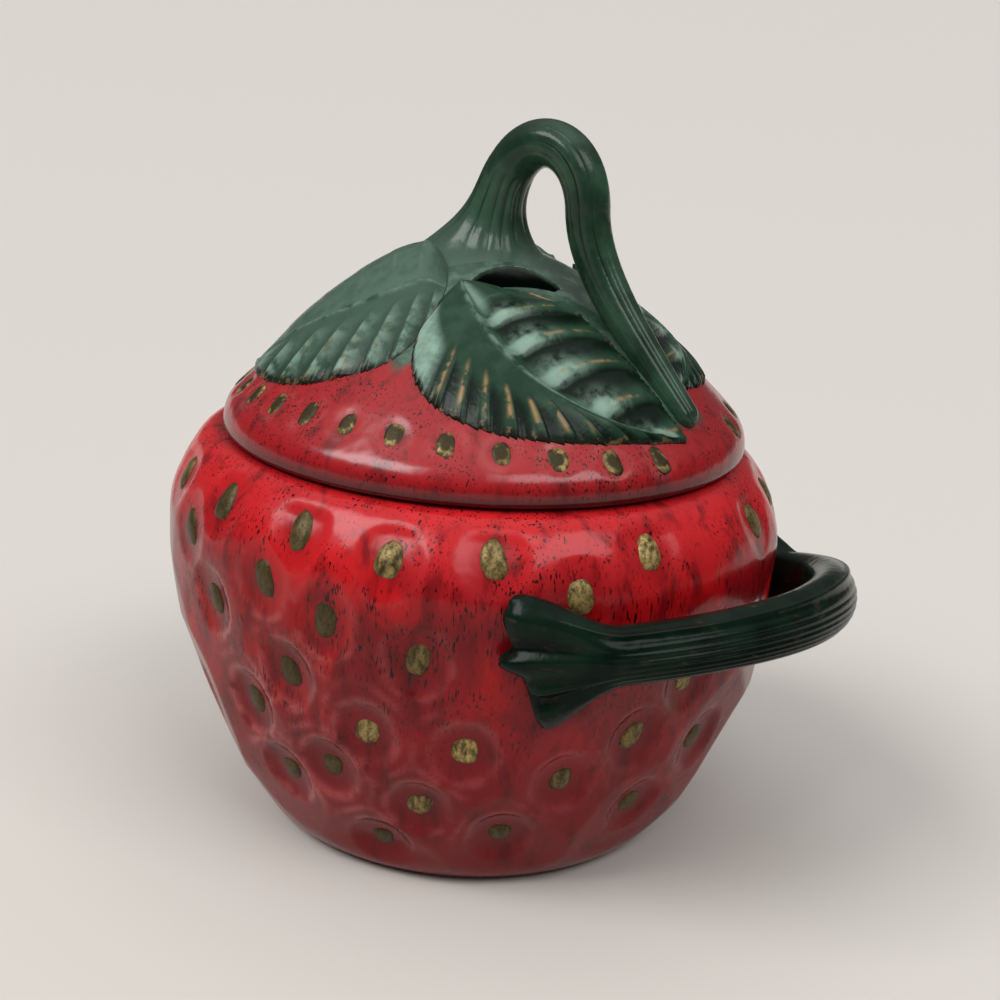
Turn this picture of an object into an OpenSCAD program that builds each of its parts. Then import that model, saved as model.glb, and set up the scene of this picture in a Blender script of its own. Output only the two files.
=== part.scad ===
// Strawberry cookie jar in glazed earthenware: a dimpled pot with one ribbed side handle,
// and a lift-off lid that carries four veined leaves and a looped stem.
// Millimetres, +Z up, origin at the centre of the base.
// +X runs out through the side handle and along the stem's trailing leg.

/* [Pot] */
// Widest diameter of the pot
pot_d = 197; // [184:1:240]
// Height of the widest part above the table
belly_z = 102; // [88:1:112]
// Height of the flat rim that carries the lid
rim_z = 128; // [122:0.5:150]
// Diameter of the flat base
base_d = 122; // [104:1:150]
// Diameter of the mouth
mouth_d = 144; // [124:1:156]
// Width of the flat rim round the mouth
rim_w = 7; // [5:0.5:10]
// Thickness of the pot's wall
wall = 6; // [5:0.5:9]
// Thickness of the pot's floor
floor_t = 8; // [6:0.5:12]
// How square the curve below the belly is, 1 for an ellipse
belly_power = 1.2; // [1:0.05:1.4]
// How square the curve of the shoulder is, 1 for an ellipse
shoulder_power = 1.1; // [1:0.05:1.4]

/* [Seeds] */
// Width of a seed on the pot
seed_w = 8.8; // [6:0.2:11]
// Length of a seed on the pot
seed_l = 14; // [10:0.5:18]
// Height of a seed on the pot above the floor of its dimple
seed_h = 1.6; // [1:0.1:1.8]
// Width of a dimple on the pot
dimple_d = 24; // [18:1:26]
// Depth of a dimple on the pot
dimple_depth = 1.9; // [1.2:0.1:2.6]
// Number of places in the ring of seeds on the lid
lid_seed_count = 30; // [20:2:32]
// Width of a seed on the lid
lid_seed_w = 6.8; // [5:0.2:8]
// Length of a seed on the lid
lid_seed_l = 9.6; // [7:0.2:11]
// Height of a seed on the lid above the floor of its dimple
lid_seed_h = 0.9; // [0.6:0.1:1.2]
// Width of a dimple on the lid
lid_dimple_d = 13; // [10:0.5:15]
// Depth of a dimple on the lid
lid_dimple_depth = 1.1; // [0.8:0.1:1.5]
// Half the angle round the stem's end that is left without seeds
lid_seed_break = 10; // [6:1:20]

/* [Lid] */
// How far the eaves of the dome reach past the rim
eave_over = 1; // [0:0.5:5]
// Height of the dome from its eaves to its crown
dome_rise = 50; // [40:1:60]
// Curve of the dome, 1 for a cone and 2 for a bowl
dome_power = 1.6; // [1.3:0.05:2]
// Radius of the lid's rounded lip
lip_round = 12; // [8:0.5:15]
// Radius of the lip's lower edge
lip_edge = 2.6; // [1.5:0.1:4]
// Upright thickness of the lid's wall
lid_wall = 7; // [5:0.5:9]
// Thickness of the ring that centres the lid in the mouth
collar_t = 4.5; // [3:0.5:7]
// How far that ring reaches below the rim
collar_depth = 12; // [6:1:20]
// Angle of the vent slot round the lid
slot_angle = -40; // [-60:1:-25]
// Distance of the vent slot's straight side from the lid's axis
slot_r = 25; // [22:0.5:28]
// Length of the vent slot
slot_l = 30; // [20:1:34]
// Width of the vent slot at its middle
slot_w = 7.5; // [4:0.5:8]

/* [Leaves] */
// Thickness of a leaf beside its midrib
leaf_t = 4.6; // [3:0.2:7]
// Thickness of the rear right leaf beside its midrib
rear_leaf_t = 2.6; // [2.2:0.2:5]
// Thickness of a leaf at its edge
leaf_edge_t = 2.4; // [1.5:0.1:4]
// Number of side veins along each leaf
vein_count = 7; // [5:1:9]
// Depth of the grooves over the side veins
vein_depth = 0.9; // [0.2:0.1:1.4]
// Depth of the groove over the midrib
midrib_depth = 1.1; // [0.2:0.1:2]
// Length of the teeth along a leaf's edge
tooth_l = 1.2; // [0:0.1:1.4]
// How far the left leaves arch up beside the stem's root
leaf_arch = 5; // [0:0.5:6]

/* [Stem] */
// Height of the top of the stem's loop above the crown
stem_rise = 39; // [34:1:55]
// Distance between the two legs of the loop
loop_w = 33; // [30:1:38]
// Width of the stem where it leaves its root
stem_w = 14; // [11:0.5:16]
// Width of the stem where its leg starts down the dome
leg_w = 12; // [10:0.5:14]
// Thickness of the stem in the plane of its loop
stem_t = 14; // [11:0.5:16]
// Width of the stem's root on the crown
root_w = 32; // [24:1:33]
// Width of the stem's end near the eaves
stem_end_w = 6; // [4:0.5:8]
// Number of ribs along the stem
stem_ribs = 8; // [6:1:10]
// Height of the ribs along the stem
stem_rib_h = 0.5; // [0.1:0.1:0.8]

/* [Side handle] */
// Height of the side handle's middle above the table
handle_z = 96; // [90:1:102]
// Clear gap for the fingers between the handle and the pot
grip_gap = 12; // [8:0.5:24]
// Thickness of the handle's bar, measured outwards
bar_t = 16; // [12:0.5:20]
// Height of the handle's bar
bar_h = 17; // [14:0.5:22]
// Half the angle that the handle spans round the pot
foot_angle = 46; // [42:1:52]
// Height of the fanned foot at each end
foot_h = 36; // [30:1:42]
// Thickness of the fanned foot, measured from the pot
foot_t = 8.5; // [5:0.5:10]
// How far the feet hang below the middle of the handle
foot_drop = 14; // [6:1:18]
// How far the front foot stands above the back foot, halved
handle_lean = 8; // [0:1:10]
// Length of the rib ends past the foot
lobe_l = 4; // [0:0.5:5]
// Number of ribs along the handle
handle_ribs = 8; // [6:1:10]
// Height of the ribs along the handle
handle_rib_h = 0.6; // [0.1:0.1:0.9]

/* [Fits] */
// Gap between the lid's lip and the pot's rim
seat_gap = 0.3; // [0.2:0.1:0.6]
// Gap round the centring ring, to each side of the mouth
collar_gap = 1; // [0.6:0.1:2]
// Film of slip between a piece and the wall that carries it
slip_gap = 0.34; // [0.3:0.02:0.5]
// Least gap between a leaf and the stem beside it
leaf_gap = 0.6; // [0.4:0.1:1.5]

/* [Hidden] */
$fn = 96;

// Radii and heights that follow from the sizes above
pot_r = pot_d / 2;
base_r = base_d / 2;
mouth_r = mouth_d / 2;
rim_r = mouth_r + rim_w;
eave_r = rim_r + eave_over;
eave_slope = atan(dome_power * dome_rise / eave_r);
lip_z = rim_z + seat_gap;
eave_z = lip_z + lip_edge + lip_round * cos(eave_slope);
crown_z = eave_z + dome_rise;
collar_r = mouth_r - collar_gap;
rim_edge = 1.5;
curve_steps = 16;
fine_arc = 480;
step = 0.5;
seed_sides = 14;
seed_steps = 6;
seed_edge = 0.55;

// Seeds on one half of the pot: angle round the pot and share of the rim's height.
// The other half repeats them half a turn on.
seed_spots = [
    [10, 0.91], [30, 0.91], [50, 0.91], [-23, 0.92], [-52, 0.92], [-70, 0.9], [-88, 0.92], [-109, 0.92],
    [-37, 0.84], [-118, 0.82], [-94, 0.79], [-81, 0.73], [-64, 0.67], [-110, 0.67], [18, 0.65],
    [-11, 0.58], [-90, 0.56], [-74, 0.45], [-21, 0.44], [-55, 0.43], [-102, 0.43], [34, 0.42],
    [0, 0.36], [-35, 0.34], [-83, 0.32], [54, 0.33], [-96, 0.25], [-64, 0.25], [20, 0.24],
    [-14, 0.21], [-46, 0.17], [40, 0.17], [-74, 0.11]
];

// Outlines of the three kinds of leaf as seen from above, in hundredths of the eaves' radius.
// Each is base, tip, then two guide points for the midrib, the inner edge and the outer edge.
right_leaf = [[12, -38], [97, -8], [37, -60], [80, -65], [40, -6], [62, -8], [-7, -91], [75, -98]];
rear_leaf = [[12, -38], [82, -9], [37, -56], [70, -50], [40, -6], [62, -8], [0, -78], [80, -88]];
left_leaf = [[5, -37], [-79, -49], [-16, -62], [-50, -66], [-16, 0], [-72, -2], [22, -82], [-38, -104]];
leaf_columns = 6 * vein_count;
leaf_rows = [-1, -0.73, -0.46, -0.2, 0, 0.2, 0.46, 0.73, 1];
leaf_ends = 0.02;
vein_sweep = 0.7;
inner_sweep = 0.3;

// Stem: two joined curves in the XZ plane, the loop and the leg that trails down the dome
root_sink = 1.5;
leg_share = 0.35;
leg_drop = 1.3 * stem_w;
leg_z = crown_z + leg_share * stem_rise;
root_z = dome_at(root_w / 2) - root_sink;
loop_guide_z = (8 * (crown_z + stem_rise - stem_t / 2) - root_z - leg_z) / 6;
loop_lean = 4;
leg_run = 2;
stem_end_x = 0.94 * eave_r;
trail_x = 0.65 * eave_r;
root_length = 0.3;
root_power = 4;
root_shares = [0.1, 0.4, 0.7];
loop_rings = 20;
trail_rings = 13;
ring_points_per_rib = 6;

// Side handle: the bar leaves the pot within grip_angle, and its feet fan out past fan_angle
grip_angle = foot_angle;
fan_angle = 0.7 * foot_angle;
grip_power = 1.7;
grip_stand = grip_gap + bar_t / 2;
handle_rings = 34;

// A value between a and b at share t, and a share eased in and out
function between(a, b, t) = a + (b - a) * t;
function eased(t) = let (s = min(1, max(0, t))) s * s * (3 - 2 * s);

// A point at share t of the curve from a to d that is drawn towards b and c
function bezier(a, b, c, d, t) =
    pow(1 - t, 3) * a + 3 * pow(1 - t, 2) * t * b + 3 * (1 - t) * t * t * c + pow(t, 3) * d;

// A step-th part of a quarter curve from a low point to a wide point, and from there to a top point
function swell(low, wide, t) =
    [between(low.x, wide.x, pow(sin(t), belly_power)), between(wide.y, low.y, pow(cos(t), belly_power))];
function draw_in(wide, top, t) =
    [between(top.x, wide.x, pow(cos(t), shoulder_power)), between(wide.y, top.y, pow(sin(t), shoulder_power))];

// Radius of the pot's outside at height z
function below_belly(z) = pow(min(1, max(0, (belly_z - z) / belly_z)), 1 / belly_power);
function above_belly(z) = pow(min(1, max(0, (z - belly_z) / (rim_z - belly_z))), 1 / shoulder_power);
function pot_at(z) = z < belly_z
    ? between(base_r, pot_r, pow(1 - pow(below_belly(z), 2), belly_power / 2))
    : between(rim_r, pot_r, pow(1 - pow(above_belly(z), 2), shoulder_power / 2));
function pot_tilt(z) = atan((pot_at(z + step) - pot_at(z - step)) / (2 * step));

// Height of the dome's outside at distance r from the axis, and how steeply it falls there
function dome_at(r) = crown_z - dome_rise * pow(r / eave_r, dome_power);
function dome_tilt(r) = atan(dome_power * dome_rise / eave_r * pow(r / eave_r, dome_power - 1));

// Radius of the ball that hollows a dimple, or of the arc over a seed, from width and depth
function cap_radius(d, h) = (d * d / 4 + h * h) / (2 * h);

// Stand children on the pot's wall, or on the lid's dome, with their Z axis pointing straight out
module on_pot(angle, z) {
    rotate([0, 0, angle]) translate([pot_at(z), 0, z]) rotate([0, 90 + pot_tilt(z), 0]) children();
}
module on_lid(angle, r) {
    rotate([0, 0, angle]) translate([r, 0, dome_at(r)]) rotate([0, dome_tilt(r), 0]) children();
}

// All places of the seeds, on the pot in two like halves and on the lid in one wavy ring
module at_pot_seeds() {
    for (half = [0, 180], spot = seed_spots) on_pot(spot.x + half, spot.y * rim_z) children();
}
lid_seed_turn = 3;
lid_seed_angles = [for (i = [0 : lid_seed_count - 1]) 360 * (i + 0.5) / lid_seed_count + lid_seed_turn];
lid_seed_in = 3;
lid_seed_r = eave_r - lid_seed_in;
lid_seed_wave = 3;
module at_lid_seeds() {
    for (a = lid_seed_angles) if (min(a, 360 - a) > lid_seed_break)
        on_lid(a, lid_seed_r + lid_seed_wave * cos(2 * a)) children();
}

// Ball-bottomed lens that hollows a dimple of width d and depth h
module dimple(d, h) {
    ball = cap_radius(d, h);
    rotate_extrude() intersection() {
        translate([0, ball - h]) circle(ball, $fn = fine_arc);
        translate([0, -2 * h]) square([d / 2 + step, 3 * h]);
    }
}

// Seed of width w, length l and height h on the floor of such a dimple, a film of slip above it
module seed(w, l, h, dish_d, dish_h) {
    ball = cap_radius(dish_d, dish_h);
    translate([0, 0, -dish_h]) intersection() {
        linear_extrude(h + slip_gap) polygon(oval(l, w));
        rotate([90, 0, 0]) linear_extrude(w, center = true) seed_section(l, h, ball);
        rotate([90, 0, 90]) linear_extrude(l, center = true) seed_section(w, h, ball);
    }
}

// Outline of a seed, and its section along one axis: a low arch over the curve of the dimple's floor
function oval(l, w) = [for (i = [0 : seed_sides - 1])
    let (f = 360 * (i + 0.5) / seed_sides) [l / 2 * cos(f), w / 2 * sin(f)]];
module seed_section(l, h, ball) {
    arc = cap_radius(l, h * (1 - seed_edge));
    xs = [for (i = [0 : seed_steps]) between(-l / 2, l / 2, i / seed_steps)];
    arch = [for (x = xs) [x, slip_gap + h - arc + sqrt(arc * arc - x * x)]];
    dish = [for (x = xs) [-x, slip_gap + ball - sqrt(ball * ball - x * x)]];
    intersection() {
        polygon(concat([[-l / 2, -h]], arch, [[l / 2, -h]]));
        polygon(concat([[-l / 2, 2 * h]], [for (i = [seed_steps : -1 : 0]) dish[i]], [[l / 2, 2 * h]]));
    }
}

// Closed skin over a list of rings of points, with a fan at each end
function middle(ring) = [for (p = ring) 1] * ring / len(ring);
module loft(rings) {
    n = len(rings[0]);
    last = len(rings) - 1;
    points = concat([for (ring = rings) each ring], [middle(rings[0]), middle(rings[last])]);
    first_hub = n * len(rings);
    sides = [for (k = [0 : last - 1], j = [0 : n - 1])
        let (a = k * n + j, b = k * n + (j + 1) % n)
        each [[a, b, b + n], [a, b + n, a + n]]];
    start = [for (j = [0 : n - 1]) [first_hub, (j + 1) % n, j]];
    end = [for (j = [0 : n - 1]) [first_hub + 1, last * n + j, last * n + (j + 1) % n]];
    polyhedron(points, concat(sides, start, end));
}

// Ribbed oval ring round a path point c: t is the way along the path, u the ring's side way,
// a its half thickness square to both, b its half width and rib the height of its ribs
function unit(v) = v / norm(v);
function ring(c, t, u, a, b, ribs, rib) =
    let (n = unit(cross(t, u)), side = unit(cross(n, t)), count = ribs * ring_points_per_rib)
    [for (j = [0 : count - 1])
        let (f = 360 * j / count, swell_out = -rib * cos(ribs * f))
        c + n * (a + swell_out) * cos(f) + side * (b + swell_out) * sin(f)];

// Pot

pot_outside = concat(
    [for (i = [0 : curve_steps]) swell([base_r, 0], [pot_r, belly_z], 90 * i / curve_steps)],
    [for (i = [1 : curve_steps]) draw_in([pot_r, belly_z], [rim_r, rim_z], 90 * i / curve_steps)]);
pot_inside = concat(
    [for (i = [curve_steps : -1 : 0])
        draw_in([pot_r - wall, belly_z], [mouth_r, rim_z - wall], 90 * i / curve_steps)],
    [for (i = [curve_steps - 1 : -1 : 0])
        swell([base_r - wall, floor_t], [pot_r - wall, belly_z], 90 * i / curve_steps)]);
pot_profile = concat(
    pot_outside,
    [[mouth_r + rim_edge, rim_z], [mouth_r, rim_z - rim_edge]],
    pot_inside,
    [[0, floor_t], [0, 0]]);

module pot() {
    color("firebrick") difference() {
        rotate_extrude() polygon(pot_profile);
        at_pot_seeds() dimple(dimple_d, dimple_depth);
    }
}

module pot_seeds() {
    color("darkgoldenrod") at_pot_seeds() seed(seed_w, seed_l, seed_h, dimple_d, dimple_depth);
}

// Side handle: a ribbed bar that bows away from the pot and lies flat on it at both fanned feet

function handle_height(a) = handle_z - foot_drop * pow(a / foot_angle, 2) - handle_lean * a / foot_angle;
function handle_path(a) =
    let (z = handle_height(a), away = 1 - pow(min(1, abs(a) / grip_angle), grip_power),
         r = pot_at(z) + between(foot_t / 2, grip_stand, away))
    [r * cos(a), r * sin(a), z];
function fan(a) = eased((abs(a) - fan_angle) / (foot_angle - fan_angle));

// Bend a point of a foot to the pot's curve, then keep it a film of slip off the wall
function on_wall(p, z, share) =
    let (r = norm([p.x, p.y]), bent = r + share * (pot_at(p.z) - pot_at(z)),
         kept = max(bent, pot_at(p.z) + slip_gap))
    [p.x * kept / r, p.y * kept / r, p.z];

function handle_ring(a) =
    let (c = handle_path(a), way = unit(handle_path(a + step) - handle_path(a - step)), f = fan(a),
         points = ring(c, way, [0, 0, 1], between(bar_t, foot_t, f) / 2, between(bar_h, foot_h, f) / 2,
                       handle_ribs, between(handle_rib_h, 2 * handle_rib_h, f)))
    [for (j = [0 : len(points) - 1])
        let (lobe = -lobe_l * pow(f, 4) * cos(360 * j / ring_points_per_rib) * sign(a))
        on_wall(points[j] + way * lobe, c.z, f)];

module side_handle() {
    color("darkgreen") loft([for (k = [0 : handle_rings]) handle_ring(foot_angle * (2 * k / handle_rings - 1))]);
}

// Lid

lip_center = [eave_r - lip_round * sin(eave_slope), eave_z - lip_round * cos(eave_slope)];
lip_r = lip_center.x + lip_round;
lip_steps = 8;
seat_r = mouth_r + rim_w / 2;
function dome_inside(r) = [r, dome_at(r) - lid_wall];
function arc_point(center, r, angle) = center + r * [cos(angle), sin(angle)];

lid_profile = concat(
    [for (i = [0 : curve_steps]) let (r = eave_r * i / curve_steps) [r, dome_at(r)]],
    [for (i = [1 : lip_steps]) arc_point(lip_center, lip_round, (90 - eave_slope) * (1 - i / lip_steps))],
    [for (i = [1 : lip_steps]) arc_point([lip_r - lip_edge, lip_z + lip_edge], lip_edge, -90 * i / lip_steps)],
    [[seat_r, lip_z], dome_inside(seat_r), dome_inside(collar_r), [collar_r, rim_z - collar_depth],
     [collar_r - collar_t, rim_z - collar_depth]],
    [for (i = [curve_steps : -1 : 0]) dome_inside((collar_r - collar_t) * i / curve_steps)]);

module vent_slot() {
    arc = cap_radius(slot_l, slot_w);
    rotate([0, 0, slot_angle]) translate([0, 0, eave_z]) linear_extrude(2 * dome_rise) intersection() {
        translate([slot_r - slot_w + arc, 0]) circle(arc);
        translate([slot_r - 2 * slot_w, -slot_l]) square([2 * slot_w, 2 * slot_l]);
    }
}

module lid() {
    color("firebrick") difference() {
        rotate_extrude() polygon(lid_profile);
        vent_slot();
        at_lid_seeds() dimple(lid_dimple_d, lid_dimple_depth);
    }
}

module lid_seeds() {
    color("darkgoldenrod") at_lid_seeds() seed(lid_seed_w, lid_seed_l, lid_seed_h, lid_dimple_d, lid_dimple_depth);
}

// Leaves: thin slabs bedded on the dome, with a toothed edge, a midrib and swept side veins

function stem_side(x) =
    between(leg_w, stem_end_w, min(1, max(0, (x - loop_w) / (stem_end_x - loop_w)))) / 2;
function clear_of_stem(p) = [p.x, min(p.y, -stem_side(p.x) - leaf_gap)];

// Place of column i on row s of a leaf seen from above: 0 is the midrib, 1 the inner edge, -1 the outer
function leaf_place(leaf, i, s) =
    let (u = between(leaf_ends, 1 - leaf_ends, i / leaf_columns), bow = u * (1 - u),
         rib = bezier(leaf[0], leaf[2], leaf[3], leaf[1], u - vein_sweep * bow),
         edge = s > 0
            ? bezier(leaf[0], leaf[4], leaf[5], leaf[1], u + inner_sweep * bow)
            : bezier(leaf[0], leaf[6], leaf[7], leaf[1], u),
         tooth = abs(s) == 1 ? tooth_l * (i % 2) : 0,
         place = (rib + (edge - rib) * abs(s)) * eave_r / 100)
    clear_of_stem(place + tooth * unit(edge - rib));
function leaf_height(i, s, thick, arch) =
    between(thick, leaf_edge_t, s * s) - (s == 0 ? midrib_depth : 0)
    + (s > 0 ? arch * (1 - pow(2 * s - 1, 2)) * sin(180 * sqrt(i / leaf_columns)) : 0)
    - 2 * vein_depth * abs(s) * (1 - abs(s)) * (1 + cos(360 * vein_count * i / leaf_columns));
function leaf_point(leaf, i, s, thick, arch, top) =
    let (p = leaf_place(leaf, i, s), bed = dome_at(norm(p)) + slip_gap)
    [p.x, p.y, bed + (top ? leaf_height(i, s, thick, arch) : 0)];

module leaf(outline, turn, thick, arch) {
    rows = [for (s = leaf_rows) s * turn];
    m = len(rows);
    count = m * (leaf_columns + 1);
    points = [for (top = [true, false], i = [0 : leaf_columns], s = rows)
        leaf_point(outline, i, s, thick, arch, top)];
    blade = [for (i = [0 : leaf_columns - 1], j = [0 : m - 2])
        let (a = i * m + j, b = a + m)
        each [[a, a + 1, b + 1], [a, b + 1, b],
              [count + a, count + b + 1, count + a + 1], [count + a, count + b, count + b + 1]]];
    border = concat(
        [for (i = [0 : leaf_columns]) i * m],
        [for (j = [1 : m - 1]) leaf_columns * m + j],
        [for (i = [leaf_columns - 1 : -1 : 0]) i * m + m - 1],
        [for (j = [m - 2 : -1 : 1]) j]);
    rim = [for (k = [0 : len(border) - 1])
        let (a = border[k], b = border[(k + 1) % len(border)])
        each [[a, b, count + b], [a, count + b, count + a]]];
    color("darkgreen") polyhedron(points, concat(blade, rim));
}
module leaf_front_right() {
    leaf(right_leaf, 1, leaf_t, 0);
}
module leaf_front_left() {
    leaf(left_leaf, -1, leaf_t, leaf_arch);
}
module leaf_back_right() {
    mirror([0, 1, 0]) leaf(rear_leaf, 1, rear_leaf_t, 0);
}
module leaf_back_left() {
    mirror([0, 1, 0]) leaf_front_left();
}

// Stem: a ribbed loop that springs from the crown and trails down the dome to the eaves

function loop_path(t) =
    bezier([0, 0, root_z], [-loop_lean, 0, loop_guide_z],
           [loop_w - leg_run, 0, loop_guide_z], [loop_w, 0, leg_z], t);
function trail_path(t) =
    bezier([loop_w, 0, leg_z], [loop_w + leg_run, 0, leg_z - leg_drop],
           [trail_x, 0, dome_at(trail_x) + stem_t / 3], [stem_end_x, 0, dome_at(stem_end_x) + 1], t);
function path_way(at, t) = unit(at(min(1, t + 0.01)) - at(max(0, t - 0.01)));

// Keep a point of the stem a film of slip above the dome
function on_dome(p) = [p.x, p.y, max(p.z, dome_at(norm([p.x, p.y])) + slip_gap)];
function stem_ring(c, way, a, b, rib) = [for (p = ring(c, way, [0, 1, 0], a, b, stem_ribs, rib)) on_dome(p)];

function loop_ring(t, share) =
    let (flare = between(1, root_w / stem_w, pow(max(0, 1 - t / root_length), root_power)),
         size = share * flare * between(1, leg_w / stem_w, t))
    stem_ring(loop_path(t), path_way(function (x) loop_path(x), t), size * stem_t / 2, size * stem_w / 2,
              size * stem_rib_h);
function trail_ring(t) =
    let (c = trail_path(t), b = stem_side(c.x))
    stem_ring(c, path_way(function (x) trail_path(x), t), b * stem_t / stem_w, b, stem_rib_h * 2 * b / stem_w);

module stem_handle() {
    color("darkgreen") loft(concat(
        [for (share = root_shares) loop_ring(0, share)],
        [for (k = [0 : loop_rings]) loop_ring(k / loop_rings, 1)],
        [for (k = [1 : trail_rings]) trail_ring(k / trail_rings)]));
}

pot();
pot_seeds();
side_handle();
lid();
lid_seeds();
leaf_front_right();
leaf_front_left();
leaf_back_right();
leaf_back_left();
stem_handle();
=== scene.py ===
import math

import bpy
import numpy as np
from mathutils import Matrix, Vector


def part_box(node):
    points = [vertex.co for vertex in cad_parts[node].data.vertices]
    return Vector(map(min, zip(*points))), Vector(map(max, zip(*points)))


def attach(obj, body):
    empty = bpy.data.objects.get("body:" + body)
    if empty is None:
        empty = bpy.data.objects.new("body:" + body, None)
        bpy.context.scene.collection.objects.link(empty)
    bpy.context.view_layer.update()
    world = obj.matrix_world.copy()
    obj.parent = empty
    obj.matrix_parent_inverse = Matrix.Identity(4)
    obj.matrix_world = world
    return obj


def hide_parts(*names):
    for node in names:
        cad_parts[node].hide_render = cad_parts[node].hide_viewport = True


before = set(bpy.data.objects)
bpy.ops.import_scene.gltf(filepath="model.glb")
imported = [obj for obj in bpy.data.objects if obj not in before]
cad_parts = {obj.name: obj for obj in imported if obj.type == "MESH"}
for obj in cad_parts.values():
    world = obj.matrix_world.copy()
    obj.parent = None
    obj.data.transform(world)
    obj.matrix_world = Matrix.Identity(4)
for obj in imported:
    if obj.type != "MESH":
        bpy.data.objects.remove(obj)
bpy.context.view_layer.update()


# Pot: the strawberry's body, slip-cast earthenware under a glossy, mottled red glaze.
# Hollows pressed round the seeds meet in soft ridges. The inside has a plain ivory glaze.

MM = 0.001
POT_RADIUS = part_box("pot")[1].y / MM
RIM_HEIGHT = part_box("pot")[1].z / MM
BELLY_HEIGHT = 102
BASE_RADIUS = 61
MOUTH_RADIUS = 72
RIM_WIDTH = 7
RIM_EDGE = 1.5
POT_WALL = 6
POT_FLOOR = 8
BELLY_POWER = 1.2
SHOULDER_POWER = 1.1

# Places of the seeds on one half of the pot: angle, share of the rim's height and share of gilding.
# The other half is alike.
SEED_SPOTS = np.array([
    [10, 0.91, 0.4], [30, 0.91, 0.5], [50, 0.91, 0.3], [-23, 0.92, 0.95], [-52, 0.92, 0.5], [-70, 0.9, 0.6],
    [-88, 0.92, 0.15], [-109, 0.92, 0.1], [-37, 0.84, 0.8], [-118, 0.82, 0.1], [-94, 0.79, 0.1],
    [-81, 0.73, 0.1], [-64, 0.67, 0.3], [-110, 0.67, 0.1], [18, 0.65, 0.4], [-11, 0.58, 0.75],
    [-90, 0.56, 0.05], [-74, 0.45, 0.65], [-21, 0.44, 0.45], [-55, 0.43, 1.0], [-102, 0.43, 0.1],
    [34, 0.42, 0.3], [0, 0.36, 0.2], [-35, 0.34, 0.3], [-83, 0.32, 0.1], [54, 0.33, 0.4],
    [-96, 0.25, 0.1], [-64, 0.25, 0.55], [20, 0.24, 0.2], [-14, 0.21, 0.15], [-46, 0.17, 0.15],
    [40, 0.17, 0.3], [-74, 0.11, 0.1],
])
SEED_ANGLES = np.concatenate([SEED_SPOTS[:, 0], SEED_SPOTS[:, 0] + 180])
SEED_HEIGHTS = np.tile(SEED_SPOTS[:, 1] * RIM_HEIGHT, 2)
SEED_GILDING = np.tile(SEED_SPOTS[:, 2], 2)

HOLLOW_REACH = 24
HOLLOW_DEPTH = 2.6
DIMPLE_REACH = 10.6
DIMPLE_DEPTH = 2.0
DIMPLE_STRETCH = 0.84
RIDGE_SOFTNESS = 0.35
SLOPE_STEP = 0.5
RING_POINTS = 448

# Heights between which hollows and dimples get shallower, set in above the foot and fade out below the rim
HOLLOW_FADE = (55, 108)
DIMPLE_FADE = (75, 112)
FOOT_FADE = (2, 14)
RIM_FADE = (RIM_HEIGHT - 7, RIM_HEIGHT - 1)

# Painted highlights, pale rose lines on the dimples' edges and the ridges: width of the line on a dimple's
# edge and on a ridge, the heights and the distance from a seed where it fades, the heights where it sets in,
# and the angle where it is strongest. The glaze pools in the dimples, to about POOL_REACH from a seed.
EDGE_LINE = 1.1
RIDGE_LINE = 1.9
EDGE_FADE = (80, 112)
RIDGE_FADE = (66, 96)
RIDGE_REACH = (12, 18)
HIGHLIGHT_START = (12, 24)
HIGHLIGHT_TURN = -120
HIGHLIGHT_SPREAD = 48
POOL_REACH = 7

# Swells where the hand-finished wall leaves the plain one. For each the angle of its middle, its spread in
# degrees, how far it stands out, or in if under 0, and the heights where it sets in, is full, starts to fade
# and is gone. Those that run up to the rim fade above it only.
WALL_SWELLS = (
    (-136, 24, 2.4, 14, 46, 130, 140),
    (-165, 38, 4.0, 114, 132, 150, 160),
    (27, 30, 2.6, 8, 30, 58, 92),
    (-124, 30, -1.4, 2, 10, 14, 30),
    (27, 30, -0.6, 84, 104, 130, 140),
)


def eased(low, high, x):
    """Share of the way from low to high, slow at both ends."""
    t = np.clip((x - low) / (high - low), 0, 1)
    return t * t * (3 - 2 * t)


def band(low, full, fading, gone, x):
    """Share that rises from low to full and falls again from fading to gone."""
    return eased(low, full, x) * (1 - eased(fading, gone, x))


def bell(x, width, middle=0):
    """Share that is 1 at middle and has fallen to about a third at width from it."""
    return np.exp(-((x - middle) / width) ** 2)


def turn_from(angle, middle):
    """Angle in degrees from middle, between -180 and 180."""
    return (angle - middle + 180) % 360 - 180


def around(r, angle, z):
    """Points at radius r, at an angle in degrees round the jar's axis, and at height z."""
    turn = np.radians(angle)
    return np.stack(np.broadcast_arrays(r * np.cos(turn), r * np.sin(turn), z), -1)


def off_axis(points):
    """Distance of points from the jar's axis."""
    return np.hypot(points[..., 0], points[..., 1])


def unit(ways):
    """Directions made 1 long."""
    return ways / np.linalg.norm(ways, axis=-1, keepdims=True)


def wall_radius(z, foot_z, foot_r, belly_r, top_z, top_r):
    """Radius of a bellied wall: a quarter superellipse from foot to belly and another from belly to top."""
    below = np.clip((BELLY_HEIGHT - z) / (BELLY_HEIGHT - foot_z), 0, 1) ** (1 / BELLY_POWER)
    above = np.clip((z - BELLY_HEIGHT) / (top_z - BELLY_HEIGHT), 0, 1) ** (1 / SHOULDER_POWER)
    swell = foot_r + (belly_r - foot_r) * (1 - below ** 2) ** (BELLY_POWER / 2)
    draw_in = top_r + (belly_r - top_r) * (1 - above ** 2) ** (SHOULDER_POWER / 2)
    return np.where(z < BELLY_HEIGHT, swell, draw_in)


def plain_wall(z):
    """Radius of the pot as it is drawn: a bellied wall from the base to the rim."""
    return wall_radius(z, 0, BASE_RADIUS, POT_RADIUS, RIM_HEIGHT, MOUTH_RADIUS + RIM_WIDTH)


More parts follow.
